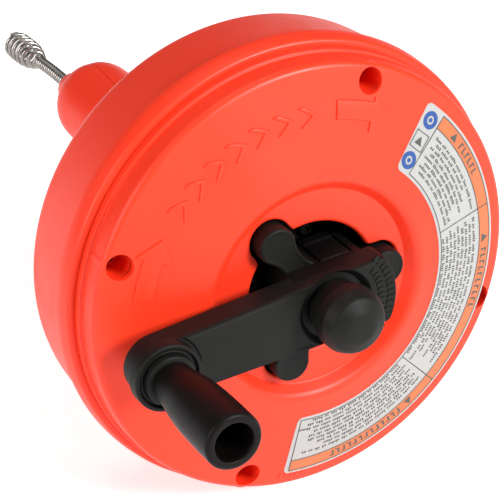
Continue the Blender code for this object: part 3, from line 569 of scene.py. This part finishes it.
def cup_r(angle):
    """Distance from the axis to the outside of the cup below the socket."""
    return lobed(angle, CUP_CORE, CUP_LOBE_HALF, CUP_LOBE_END)


def socket_cup():
    """The black cup that the crank's hub and lobes stand in."""
    bottom, top, bore = 5.4, 26.0, 9.3
    rows = [
        lambda a: (bore, bottom), lambda a: (cup_r(a), bottom), lambda a: (cup_r(a), top),
        lambda a: (socket_r(a) + 0.3, top), lambda a: (socket_r(a) + 0.25, SOCKET_FLOOR + 1),
        lambda a: (socket_r(a) - 0.6, SOCKET_FLOOR), lambda a: (24.0, SOCKET_FLOOR),
        lambda a: (bore, SOCKET_FLOOR)]
    piece("socket_cup", *swept_rows(rows, 360), SOCKET_BLACK, "drum", "black_plastic", ["drive_socket"])


def arc_points(radius, first, last, step=2.0):
    """Points on an arc between two angles in degrees."""
    count = max(1, math.ceil(abs(last - first) / step))
    return [polar(radius, math.radians(first + (last - first) * k / count)) for k in range(count + 1)]


def raised_marks():
    """Two direction arrows, and plain chevrons between them that point the same way."""
    arrow_parts = []
    low, high, narrow, point = 75.9, 83.8, 71.2, 79.5
    for start, neck, tip, wide in ((167.3, 154.3, 147.0, 87.2), (78.0, 65.3, 58.3, 86.0)):
        outline = arc_points(low, start, neck)
        corners = ((narrow, neck), (point, tip), (wide, neck))
        outline += [polar(radius, math.radians(degrees)) for radius, degrees in corners]
        outline += arc_points(high, neck, start)
        arrow_parts.append(on_cover(raised_shape(outline, -0.4, 0.85, 0.35, 4)))
    piece("direction_arrows", *join(arrow_parts), ORANGE, "drum", "orange_shell", sharp=50)
    marks = []
    chevrons, first_chevron, chevron_step = 7, 137.4, 8.13
    for k in range(chevrons):
        middle = first_chevron - chevron_step * k
        corners = [(74.8, 2.2), (79.0, -2.2), (83.2, 2.2), (83.2, 0.3), (79.0, -4.1), (74.8, 0.3)]
        outline = [polar(radius, math.radians(middle + shift)) for radius, shift in corners]
        marks.append(on_cover(raised_shape(outline, -0.4, 0.75, 0.3, 3)))
    for k in range(5):
        angle = math.radians(258.2 + 1.7 * k)
        middle, along = Vector(polar(93.6, angle)), Vector(polar(1.3, angle + 0.1))
        across = Vector((-along.y, along.x)).normalized() * 0.42
        outline = [tuple(middle + a * along + b * across) for a, b in SQUARE]
        marks.append(on_cover(raised_shape(outline, -0.6, 0.35, 0.2, 2)))
    piece("direction_marks", *join(marks), ORANGE, "drum", "orange_shell", sharp=50)


# ---------------------------------------------------------------- label

LABEL_IN = 61.5
LABEL_OUT = 92.7
LABEL_START = 47.4
LABEL_END = -100.9
FILM = 0.28
BAND_LIFT = 0.34
INK_LIFT = 0.41
BAND_IN, BAND_OUT = 85.6, 91.4
PRINT_IN = 63.0
PRINT_START, PRINT_END = 40.4, -99.4
RULE = 0.2                      # half width of the ruled lines
SIGN_ANGLE = 43.9
SIGN_R = (67.4, 76.6, 86.4)     # ring, framed triangle, ring
SIGN_HALF = 3.9


def arc_strip(r0, r1, a0, a1, z=INK_LIFT, step=2.0):
    """A flat patch between two radii and two angles in degrees."""
    count = max(1, math.ceil(abs(a1 - a0) / step))
    verts = []
    for i in range(count + 1):
        angle = math.radians(a0 + (a1 - a0) * i / count)
        verts += [(*polar(r0, angle), z), (*polar(r1, angle), z)]
    return verts, [[2 * i, 2 * i + 1, 2 * i + 3, 2 * i + 2] for i in range(count)]


def flat_ring(centre, inner, outer, z, sides=32):
    """A flat ring of ink."""
    verts = []
    for i in range(sides):
        x, y = polar(1, TAU * i / sides)
        verts += [(centre[0] + radius * x, centre[1] + radius * y, z) for radius in (inner, outer)]
    faces = [[2 * i, 2 * i + 1, (2 * i + 3) % (2 * sides), (2 * i + 2) % (2 * sides)] for i in range(sides)]
    return verts, faces


def disc(centre, radius, z, sides=40):
    """A flat round spot of ink."""
    rim = [polar(radius, TAU * i / sides) for i in range(sides)]
    verts = [(centre[0] + x, centre[1] + y, z) for x, y in rim]
    return verts, [list(range(sides))]


def triangle(r, degrees, size, z):
    """A triangle that points away from the axis."""
    angle = math.radians(degrees)
    out, along = Vector(polar(1, angle)), Vector(polar(1, angle + math.pi / 2))
    centre = out * r
    foot = centre - out * size * 0.7
    corners = [centre + out * size, foot + along * size, foot - along * size]
    return [(*c, z) for c in corners], [[0, 1, 2]]


def label_film():
    """The film, with rounded corners, as strips that run from its inner to its outer edge."""
    corner = 2.6
    ends = [corner * (1 - math.cos(math.pi / 2 * k / 6)) for k in range(7)]
    middle = (LABEL_IN + LABEL_OUT) / 2
    angles = [LABEL_START - math.degrees(distance / middle) for distance in ends]
    last = [LABEL_END + math.degrees(distance / middle) for distance in ends[::-1]]
    count = 110
    angles += [angles[-1] + (last[0] - angles[-1]) * k / count for k in range(1, count)] + last
    rings = []
    for degrees in angles:
        arc = math.radians(min(LABEL_START - degrees, degrees - LABEL_END))
        inner, outer = LABEL_IN, LABEL_OUT
        if arc * LABEL_IN < corner:
            inner += corner - math.sqrt(max(corner ** 2 - (corner - arc * LABEL_IN) ** 2, 0.0))
        if arc * LABEL_OUT < corner:
            outer -= corner - math.sqrt(max(corner ** 2 - (corner - arc * LABEL_OUT) ** 2, 0.0))
        angle = math.radians(degrees)
        section = [(inner, -0.1), (outer, -0.1), (outer, FILM - 0.06), (outer - 0.07, FILM),
                   (inner + 0.07, FILM), (inner, FILM - 0.06)]
        rings.append([(*polar(radius, angle), lift) for radius, lift in section])
    piece("label_film", *on_cover(stacked(rings)), LABEL_WHITE, "drum", "label_film", ["blank_label"])


def text_rows(rand):
    """Lines of small dashes in place of words."""
    first_line, line_gap, letter_pitch, word_gap = 82.2, 2.25, 1.05, 0.95
    ink = []
    for first, last, count in ((38.4, 9.5, 8), (5.4, -46.6, 9), (-50.8, -97.6, 9)):
        for row in range(count):
            r = first_line - row * line_gap
            angle = first - (0.0 if row in (0, 2, 4, 6) else 1.6)
            stop = last + rand.uniform(0, 9) if row % 3 else last + rand.uniform(0, 3)
            while angle > stop:
                word = math.degrees(rand.uniform(2.0, 6.0) / r)
                letters = max(2, round(word * math.radians(1) * r / letter_pitch))
                for k in range(letters):
                    a = angle - word * k / letters
                    high = 0.95 if rand.random() < 0.7 else 1.35
                    ink.append(arc_strip(r - 0.6, r - 0.6 + high, a, a - word / letters * 0.6, step=9.0))
                angle -= word + math.degrees(word_gap / r)
    return ink


def headings():
    """Plain triangles with rows of strokes after them, where the band has its headings."""
    ink = []
    foot, top, step = 87.0, 90.1, 1.95
    for mark, first, count in ((33.0, 29.6, 6), (-3.0, -6.4, 10), (-58.0, -61.6, 13)):
        ink.append(triangle(88.4, mark, 2.1, INK_LIFT))
        for k in range(count):
            a = first - step * k
            ink.append(arc_strip(foot, top, a, a - 0.55, step=9.0))
            low, high = (foot, foot + 0.6) if k % 2 else (top - 0.6, top)
            ink.append(arc_strip(low, high, a, a - 1.3, step=9.0))
    return ink


def label():
    """The film, its coloured band, its lines of ink and its three signs."""
    label_film()
    band = arc_strip(BAND_IN, BAND_OUT, PRINT_START, PRINT_END, BAND_LIFT)
    piece("label_band", *on_cover(band), LABEL_ORANGE, "drum", "label_film")

    ink = [arc_strip(r - RULE, r + RULE, PRINT_START, PRINT_END) for r in (PRINT_IN, BAND_IN, BAND_OUT)]
    for degrees in (PRINT_START, 7.2, -48.8, PRINT_END):
        ink.append(arc_strip(PRINT_IN, BAND_OUT, degrees - 0.16, degrees + 0.16))
    ink += text_rows(random.Random(11))
    ink += headings()
    out = Vector(polar(1, math.radians(SIGN_ANGLE)))
    along = Vector((-out.y, out.x))
    centres = [Vector(polar(r, math.radians(SIGN_ANGLE))) for r in SIGN_R]
    half, line = SIGN_HALF, 0.4
    for a, b in ((half, half - line), (line - half, -half)):
        for first, second in ((out, along), (along, out)):
            ends = ((a, -half), (a, half), (b, half), (b, -half))
            corners = [centres[1] + first * c + second * d for c, d in ends]
            ink.append(([(*c, INK_LIFT) for c in corners], [[0, 1, 2, 3]]))
    ink.append(triangle(SIGN_R[1] - 0.2, SIGN_ANGLE, 2.2, INK_LIFT))
    piece("label_ink", *on_cover(join(ink)), LABEL_INK, "drum", "label_film")
    rings = (centres[0], centres[2])
    blue = [flat_ring(centre, 1.9, SIGN_HALF, INK_LIFT) for centre in rings]
    blue += [disc(centre, 1.0, INK_LIFT) for centre in rings]
    piece("label_signs", *on_cover(join(blue)), LABEL_BLUE, "drum", "label_film")


# ---------------------------------------------------------------- crank


ARM_HALF_KNOB, ARM_HALF_HUB, ARM_FAR = 13.4, 16.1, 29.4
HUB_HALF = 15.7
TAB_HALF, TAB_HINGE, TAB_MIDDLE = 7.0, 35.6, -8.8


def arm_outline():
    """The arm's plan: an arc behind the hub, straight sides, and a round end at the knob."""
    corner = math.asin(ARM_HALF_HUB / ARM_FAR)
    points = [polar(ARM_FAR, math.pi - corner + 2 * corner * k / 16) for k in range(17)]
    points += [(KNOB_AT + ARM_HALF_KNOB * math.sin(a), -ARM_HALF_KNOB * math.cos(a))
               for a in [math.pi * k / 32 for k in range(33)]]
    line = resample(points, 1.2)
    for _ in range(3):
        line = [tuple((Vector(line[i - 1]) + Vector(line[i]) * 2 + Vector(line[(i + 1) % len(line)])) / 4)
                for i in range(len(line))]
    return line


def crank_arm():
    """The arm, with its raised rim, the moat round the dome and the knob's seat."""
    outline = arm_outline()
    steps = [(1.2, 37.9), (0.5, 38.2), (0.1, 38.9), (0.0, 39.8), (0.15, 48.6), (0.35, 49.8), (0.8, 50.4),
             (1.3, 50.4), (1.8, 50.3), (2.3, 50.12), (2.8, 50.05)]
    rings = [[(x, y, z) for x, y in inset(outline, d)] for d, z in steps]
    arm = piece("crank_arm_body", *stacked(rings), BLACK, None, None, (), CRANK)
    groove = rounded([(0, 46.4, 0), (15.0, 46.4, 0.8), (17.3, 50.05, 1.1), (18.4, 50.1, 0), (18.4, 55, 0),
                      (0, 55, 0)], False, 5)
    seat = rounded([(0, 49.5, 0), (16.2, 49.5, 0.4), (17.0, 50.05, 0.6), (17.6, 51.2, 0), (0, 51.2, 0)],
                   False, 4)
    cut(arm, [cutter(groove, 96, (0, 0), CRANK), cutter(seat, 96, (KNOB_AT, 0), CRANK)])
    finish_piece(arm, 38, "crank", ["crank_arm"])


def paddle_outline(reach=33.2, end=8.3, waist=5.4, flare=11.5, root=9.0):
    """A lobe's plan: a round end, a waist, and a flare into the hub."""
    right = []
    length = reach - 4.6 - root
    for k in range(15):
        s = root + length * k / 14
        share = (s - root) / length
        width = waist + (flare - waist) * max(0.0, 1 - share * 1.75) ** 2
        width += (end * 0.83 - waist) * max(0.0, share - 0.62) ** 2 / 0.144
        right.append((s, width))
    a0 = math.asin(min(1.0, right[-1][1] / end))
    turns = [math.pi - a0 - (TAU - 2 * a0) * k / 28 for k in range(1, 28)]
    cap = [(reach + end * math.cos(a), end * math.sin(a)) for a in turns]
    return right + cap + [(s, -w) for s, w in right[::-1]]


def crank_hub():
    """The hub block with a recess for each tab, and the three lobes."""
    block = rounded([(17.4, HUB_HALF, 5.0), (-23.0, HUB_HALF, 6.0), (-23.0, -HUB_HALF, 6.0),
                     (17.4, -HUB_HALF, 5.0)], True, 6)
    line = resample(block, 1.0)
    steps = [(1.0, 12.4), (0.3, 13.0), (0.0, 14.0), (0.0, 44.5)]
    rings = [[(x, y, z) for x, y in inset(line, d)] for d, z in steps]
    hub = piece("crank_hub", *stacked(rings), SOCKET_BLACK, None, None, (), CRANK)
    slots = []
    for side in (1, -1):
        plan = ((-16.7, 9.0), (-0.9, 9.0), (-0.9, 20.0), (-16.7, 20.0))
        rings = [[(u, side * v, z) for u, v in plan] for z in (5.0, TAB_HINGE + 1.3)]
        slots.append(piece("slot", *stacked(rings), BLACK, None, None, (), CRANK))
    bore = [(0, 5.0), (8.6, 5.0), (8.6, 41.0), (0, 41.0)]
    slots.append(cutter(bore, 48, (0, 0), CRANK))
    cut(hub, slots)
    finish_piece(hub, 38, "crank")
    lobes = []
    steps = [(0.8, 12.2), (0.2, 12.6), (0.0, 13.4), (0.0, 34.9), (0.15, 35.6), (0.45, 36.0), (0.9, 36.15),
             (1.35, 36.1), (1.9, 35.9), (2.4, 35.8)]
    for k in range(3):
        turn = Matrix.Rotation(math.pi / 3 + k * TAU / 3, 2)
        line = resample(paddle_outline(), 0.7)
        line = [tuple(turn @ Vector(point)) for point in line]
        lobes.append(stacked([[(x, y, z) for x, y in inset(line, d)] for d, z in steps]))
    piece("crank_lobes", *join(lobes), BLACK, "crank", "black_plastic", (), CRANK, 38)


def crank_details():
    """The collar under the knob, the dome on the axis, and the ribs on the hub's rim."""
    collar = rounded([(4.4, 48.6, 0), (15.2, 48.6, 0), (15.2, 54.6, 1.2), (13.3, 54.6, 0.6),
                      (12.7, 53.0, 0.4), (11.4, 53.0, 0.4), (11.0, 56.9, 0.9), (8.8, 57.3, 0.3),
                      (4.4, 57.3, 0)], False, 5)
    lathe("knob_collar", collar, BLACK, "crank", "black_plastic", (), 96, (KNOB_AT, 0), CRANK, False)
    dome = rounded([(0.0, 46.6, 0), (12.1, 46.6, 0), (12.7, 51.0, 3.0), (14.7, 57.5, 5.0), (14.75, 63.2, 2.5),
                    (12.7, 68.1, 4.0), (6.4, 71.1, 8.0), (0.0, 71.5, 0)], False, 8)
    lathe("crank_dome", dome, BLACK, "crank", "black_plastic", ["crank_boss_cap"], 96, (0, 0), CRANK, False)
    ribs = []
    for r, first, last, count in ((26.0, 218.0, 141.0, 14), (21.6, 210.0, 156.0, 9)):
        for k in range(count):
            angle = math.radians(first + (last - first) * k / (count - 1))
            width = 0.55 if k % 3 else 0.8
            out, along = Vector(polar(1, angle)), Vector((-math.sin(angle), math.cos(angle)))
            centre = out * r
            corners = [centre + out * a * 1.5 + along * b * width for a, b in SQUARE]
            ribs.append(raised_shape([tuple(c) for c in corners], 49.6, 50.5, 0.2, 2))
    piece("crank_ribs", *join(ribs), BLACK, "crank", "black_plastic", (), CRANK, 50)


def release_tabs():
    """The two squeeze tabs, each a panel with a ridge across it, hinged at its upper edge."""
    face, back, foot, ridge = 15.75, 13.4, 15.0, 20.8
    half = TAB_HALF
    for name, side in (("release_tab_left", 1), ("release_tab_right", -1)):
        body = "tab_left" if side > 0 else "tab_right"
        top = TAB_HINGE + 0.9
        line = rounded([(back, top, 0.3), (face, top, 0.6), (face, ridge + 1.4, 0.5),
                        (face + 0.85, ridge, 0.6), (face, ridge - 1.4, 0.5), (face, foot, 0.8),
                        (back, foot, 0.4)], True, 4)
        sections = ((-half, 0.4), (-half + 0.12, 0.12), (-half + 0.4, 0.0), (half - 0.4, 0.0),
                    (half - 0.12, 0.12), (half, 0.4))
        rings = [[(u + TAB_MIDDLE, side * v, z) for v, z in inset(line, d)] for u, d in sections]
        piece(f"{name}_panel", *stacked(rings), SOCKET_BLACK, body, "black_plastic", [name], CRANK, 40)


def knob():
    """The knob's sleeve: a waist at the arm, a belly, and a deep open end."""
    base, end = 57.6, 110.4
    profile = rounded([
        (9.2, base, 0.5), (9.25, 60.5, 0), (9.7, 64.5, 0), (10.5, 69.0, 0), (11.3, 74.0, 0), (11.9, 79.5, 0),
        (12.25, 86.0, 0), (12.45, 93.0, 0), (12.5, 100.0, 0), (12.45, end, 1.8), (8.6, end, 0.7),
        (8.25, 108.6, 0.3), (7.8, 70.6, 0.5), (4.4, 70.6, 0.2), (4.4, base, 0.2)])
    lathe("knob_grip", profile, KNOB_BLACK, "knob", "black_plastic", ["knob_sleeve"], 128, (KNOB_AT, 0),
          CRANK)


# ---------------------------------------------------------------- cable


DROOP = math.radians(3)
KNEE_Z = -238.0
CABLE_TIP = -254.0
CABLE_R = 3.175
WOUND_FROM = -200.0             # the windings are modelled from inside the nozzle on
WOUND_PITCH = 2.1
GROOVE = 0.62
BULB_TURNS = 7.3
BULB_R = 6.4
BULB_LENGTH = 34.8
BULB_WIRE_R = 1.02


def cable():
    """The cable along the axis, bent down a little outside the nozzle, and the open bulb wound on its end."""
    bend = Vector((0, -math.sin(DROOP), -math.cos(DROOP)))
    path, radii = [Vector((0, 0, -46.0)), Vector((0, 0, -120.0)), Vector((0, 0, -199.0))], [3.1, 3.1, 3.1]
    per_turn = 8
    count = round((WOUND_FROM - CABLE_TIP) / WOUND_PITCH * per_turn)
    for k in range(count + 1):
        z = WOUND_FROM + (CABLE_TIP - WOUND_FROM) * k / count
        sink = max(0.0, KNEE_Z + 3.0 - z)
        path.append(Vector((0, -math.tan(DROOP) * sink * sink / (sink + 6.0), z)))
        radii.append(CABLE_R - GROOVE * abs(math.cos(math.pi * k / per_turn)) ** 3)
    wound = tube_mesh(path, radii, 20)
    piece("cable_lead_wound", *wound, CABLE_WIRE, "cable", "spring_steel", ["cable_lead"], sharp=60)
    end = path[-1]
    side = Vector((1, 0, 0))
    other = bend.cross(side)
    points = []
    total = round(BULB_TURNS * 30)
    root = 2.2
    for k in range(total + 1):
        turn = BULB_TURNS * k / total
        grow = min(turn / 4.0, 1.0)
        radius = root + (BULB_R - root) * grow ** 1.2 * (2.2 - 1.2 * grow)
        radius -= 1.3 * max(0.0, (turn - BULB_TURNS + 1.2) / 1.2) ** 1.6
        along = BULB_LENGTH * (turn / BULB_TURNS) ** 1.06 - 0.8
        angle = -TAU * turn
        points.append(end + bend * along + radius * (side * math.cos(angle) + other * math.sin(angle)))
    bulb = tube_mesh(points, BULB_WIRE_R, 12)
    piece("bulb_auger_wire", *bulb, WIRE, "cable", "spring_steel", ["bulb_auger"], sharp=60)


# ---------------------------------------------------------------- grip

# Place along the axis, radius, and lift of the section's centre.
SECTIONS = [
    (-213.3, 8.0, 0.4), (-212.6, 8.6, 0.5), (-209.0, 9.3, 1.0), (-205.0, 10.7, 1.6), (-200.0, 13.5, 2.3),
    (-194.0, 17.0, 3.0), (-187.0, 20.2, 3.4), (-180.0, 21.0, 3.4), (-170.0, 20.5, 3.2), (-155.0, 19.7, 2.4),
    (-125.0, 19.0, 1.2), (-95.0, 20.0, 0.5), (-72.0, 22.5, 0.0), (-58.0, 27.0, 0.0), (-51.0, 30.5, 0.0),
    (-44.0, 31.0, 0.0)]
GRIP_TIP = SECTIONS[0][0]
GRIP_WALL = 2.2
NOZZLE_TIP, NOZZLE_SEAT, NOZZLE_REAR = -215.4, -213.5, -195.5
SEAM = 0.12
SLOT_HALF, SLOT_FRONT, SLOT_BACK = 8.7, -188.2, -99.8
SCREW_WELLS = ((10.5, -108.0), (16.0, -189.0), (-9.8, -194.5))
SCREW_WELL_R, SCREW_WELL_FLOOR = 4.4, 5.3


def grip_section(z):
    """Radius and lift of the grip at a place along the axis, on a smooth curve through its sections."""
    k = 0
    while k < len(SECTIONS) - 2 and z > SECTIONS[k + 1][0]:
        k += 1
    z0, z1 = SECTIONS[k][0], SECTIONS[k + 1][0]
    t = min(max((z - z0) / (z1 - z0), 0.0), 1.0)
    near = [SECTIONS[max(k - 1, 0)], SECTIONS[k], SECTIONS[k + 1], SECTIONS[min(k + 2, len(SECTIONS) - 1)]]
    out = []
    for column in (1, 2):
        slopes = []
        for a, c in ((0, 2), (1, 3)):
            span = near[c][0] - near[a][0]
            slopes.append((near[c][column] - near[a][column]) / span)
        p, q = near[1][column], near[2][column]
        m0, m1 = slopes[0] * (z1 - z0), slopes[1] * (z1 - z0)
        start = (2 * t ** 3 - 3 * t * t + 1) * p + (t ** 3 - 2 * t * t + t) * m0
        out.append(start + (3 * t * t - 2 * t ** 3) * q + (t ** 3 - t * t) * m1)
    return out


def grip_half(side):
    """One half of the grip, open along the seam, with its trigger slot."""
    name = "right" if side > 0 else "left"
    stations = [GRIP_TIP + 19.3 * k / 40 for k in range(40)] + [-194.0 + 150.0 * k / 110 for k in range(111)]
    count = 64
    rings, inner_rings = [], []
    for z in stations:
        radius, lift = grip_section(z)
        inside = max(radius - GRIP_WALL, 6.3)
        ring, inner_ring = [], []
        for k in range(count + 1):
            angle = -math.pi / 2 + math.pi * k / count
            seam = SEAM + 0.35 * max(0.0, abs(math.sin(angle)) - 0.985) / 0.015
            shrink = 1 - (seam - SEAM) * 0.6 / radius
            x = side * max(radius * math.cos(angle), 0.15)
            ring.append((x * shrink, lift + radius * math.sin(angle) * shrink, z))
            x = side * max(inside * math.cos(angle), 0.15)
            inner_ring.append((x, lift + inside * math.sin(angle), z))
        rings.append(ring)
        inner_rings.append(inner_ring)
    outer = len(rings[0])
    verts = [p for ring in rings for p in ring] + [p for ring in inner_rings for p in ring]
    base = len(rings) * outer
    faces = []
    for k in range(len(rings) - 1):
        for i in range(outer - 1):
            a, b = k * outer + i, (k + 1) * outer + i
            faces.append([a, a + 1, b + 1, b])
            faces.append([base + a, base + b, base + b + 1, base + a + 1])
        for i in (0, outer - 1):
            a, b = k * outer + i, (k + 1) * outer + i
            faces.append([a, b, base + b, base + a])
    for i in range(outer - 1):
        for k in (0, len(rings) - 1):
            a = k * outer + i
            faces.append([a, a + 1, base + a + 1, base + a])
    half = piece(f"grip_{name}", verts, faces, ORANGE, None, None)
    plan = rounded([(-SLOT_HALF, SLOT_FRONT, 3), (SLOT_HALF, SLOT_FRONT, 3), (SLOT_HALF, SLOT_BACK, 4),
                    (-SLOT_HALF, SLOT_BACK, 4)], True, 5)
    slot_line = resample(plan, 2.0)
    slot_rings = [[(x, y, z) for x, z in slot_line] for y in (-45.0, -9.0)]
    tools = [piece("slot", *stacked(slot_rings), BLACK, None, None)]
    if side > 0:
        for y, z in SCREW_WELLS:
            shape = rounded([(0, SCREW_WELL_FLOOR, 0), (SCREW_WELL_R, SCREW_WELL_FLOOR, 0.4),
                             (SCREW_WELL_R, 40.0, 0), (0, 40.0, 0)], False, 4)
            tool = cutter(shape, 32)
            place = Matrix.Translation((0, y * MM, z * MM))
            tool.matrix_world = LOCAL @ place @ Matrix.Rotation(math.pi / 2, 4, "Y")
            tools.append(tool)
    cut(half, tools)
    finish_piece(half, 35, "grip", [f"grip_half_{name}"])


def nozzle():
    """The black ring that the cable comes out of."""
    bore, seat = 4.2, 6.0
    profile = rounded([(bore, NOZZLE_TIP, 0.4), (6.9, NOZZLE_TIP, 0.9), (7.6, NOZZLE_SEAT, 0.4),
                       (seat, NOZZLE_SEAT, 0), (seat, NOZZLE_REAR, 0), (bore, NOZZLE_REAR, 0)])
    lathe("nozzle_ring", profile, BLACK, "grip", "black_plastic", ["nozzle_bush"], 64)


def carried_over():
    """Materials for the CAD nodes that are shown as they are."""
    finishes = {"steel": STEEL, "spring_steel": WIRE, "cast_zinc": CAST, "black_plastic": BLACK,
                "bearing_plastic": BEARING, "orange_shell": ORANGE, "label_film": LABEL_WHITE}
    slots = {entry["node"]: entry["material_slot"] for entry in frame["record"]["subparts"]}
    # These parts in the socket and the wells take the nearly black steel instead of their own finish, as painted
    # shade for their recesses.
    dark = ("hub_screw", "drive_hub", "drive_shaft", "crank_insert", "cover_screw")
    for name, obj in frame["nodes"].items():
        obj.data.materials.clear()
        obj.data.materials.append(SHADE_PAINTED_STEEL if name.startswith(dark) else finishes[slots[name]])


# ---------------------------------------------------------------- studio


# Name, place from the drum's centre in metres, size in metres, power in watts.
LIGHTS = (
    ("key", (0.8, -1.5, 1.1), 0.6, 54.0),
    ("side", (-1.5, -0.2, 0.7), 0.9, 15.0),
    ("top", (0.1, 0.6, 2.0), 1.2, 9.0),
)
CAMERA_AT = (-0.4181, -0.7421, 0.6061)
CAMERA_AIM = (-0.0098, 0.0080, 0.0033)
CAMERA_LENS = 173.94
FLOOR_GLOW = 0.62
WORLD_LIGHT = 0.17


def pale_floor():
    """A pale floor just under the object."""
    bpy.ops.mesh.primitive_plane_add(size=12.0, location=(0, 0, -0.0004))
    floor = bpy.context.object
    floor.name = "floor"
    material, nodes, links, shader = new_material("paper_floor")
    place = nodes.new("ShaderNodeTexCoord").outputs["Object"]
    fibres = noise_node(nodes, links, place, 90.0, 3.0)
    stops = [(0.3, (0.84, 0.84, 0.84)), (0.7, (0.87, 0.87, 0.87))]
    tone = ramp_node(nodes, links, fibres.outputs["Fac"], stops)
    links.new(tone.outputs["Color"], shader.inputs["Base Color"])
    shader.inputs["Roughness"].default_value = 0.9
    links.new(tone.outputs["Color"], shader.inputs["Emission Color"])
    shader.inputs["Emission Strength"].default_value = FLOOR_GLOW
    floor.data.materials.append(material)


def aim(obj, place, direction):
    """Links a lamp or camera into the scene at a place, looking in a direction."""
    bpy.context.scene.collection.objects.link(obj)
    obj.location = place
    obj.rotation_mode = "QUATERNION"
    obj.rotation_quaternion = direction.to_track_quat("-Z", "Y")


def studio():
    """Floor, soft lights, and the camera at the photo's angle."""
    pale_floor()
    world = bpy.data.worlds.new("studio")
    bpy.context.scene.world = world
    world.use_nodes = True
    backdrop = world.node_tree.nodes["Background"]
    backdrop.inputs["Color"].default_value = (1.0, 1.0, 1.0, 1.0)
    backdrop.inputs["Strength"].default_value = WORLD_LIGHT

    for name, place, size, power in LIGHTS:
        light = bpy.data.lights.new(name, "AREA")
        light.size = size
        light.energy = power
        aim(bpy.data.objects.new(name, light), FLANGE + Vector(place), -Vector(place))

    camera = bpy.data.cameras.new("camera")
    camera.lens = CAMERA_LENS
    camera.sensor_width = 36.0
    camera.clip_start = 0.05
    camera.clip_end = 30.0
    eye = bpy.data.objects.new("camera", camera)
    aim(eye, FLANGE + Vector(CAMERA_AT), Vector(CAMERA_AIM) - Vector(CAMERA_AT))
    bpy.context.scene.camera = eye
    bpy.context.scene.view_settings.view_transform = "Standard"


studio()
carried_over()
front_shell()
rear_cover()
socket_cup()
raised_marks()
label()
crank_arm()
crank_hub()
crank_details()
release_tabs()
knob()
cable()
grip_half(1)
grip_half(-1)
nozzle()
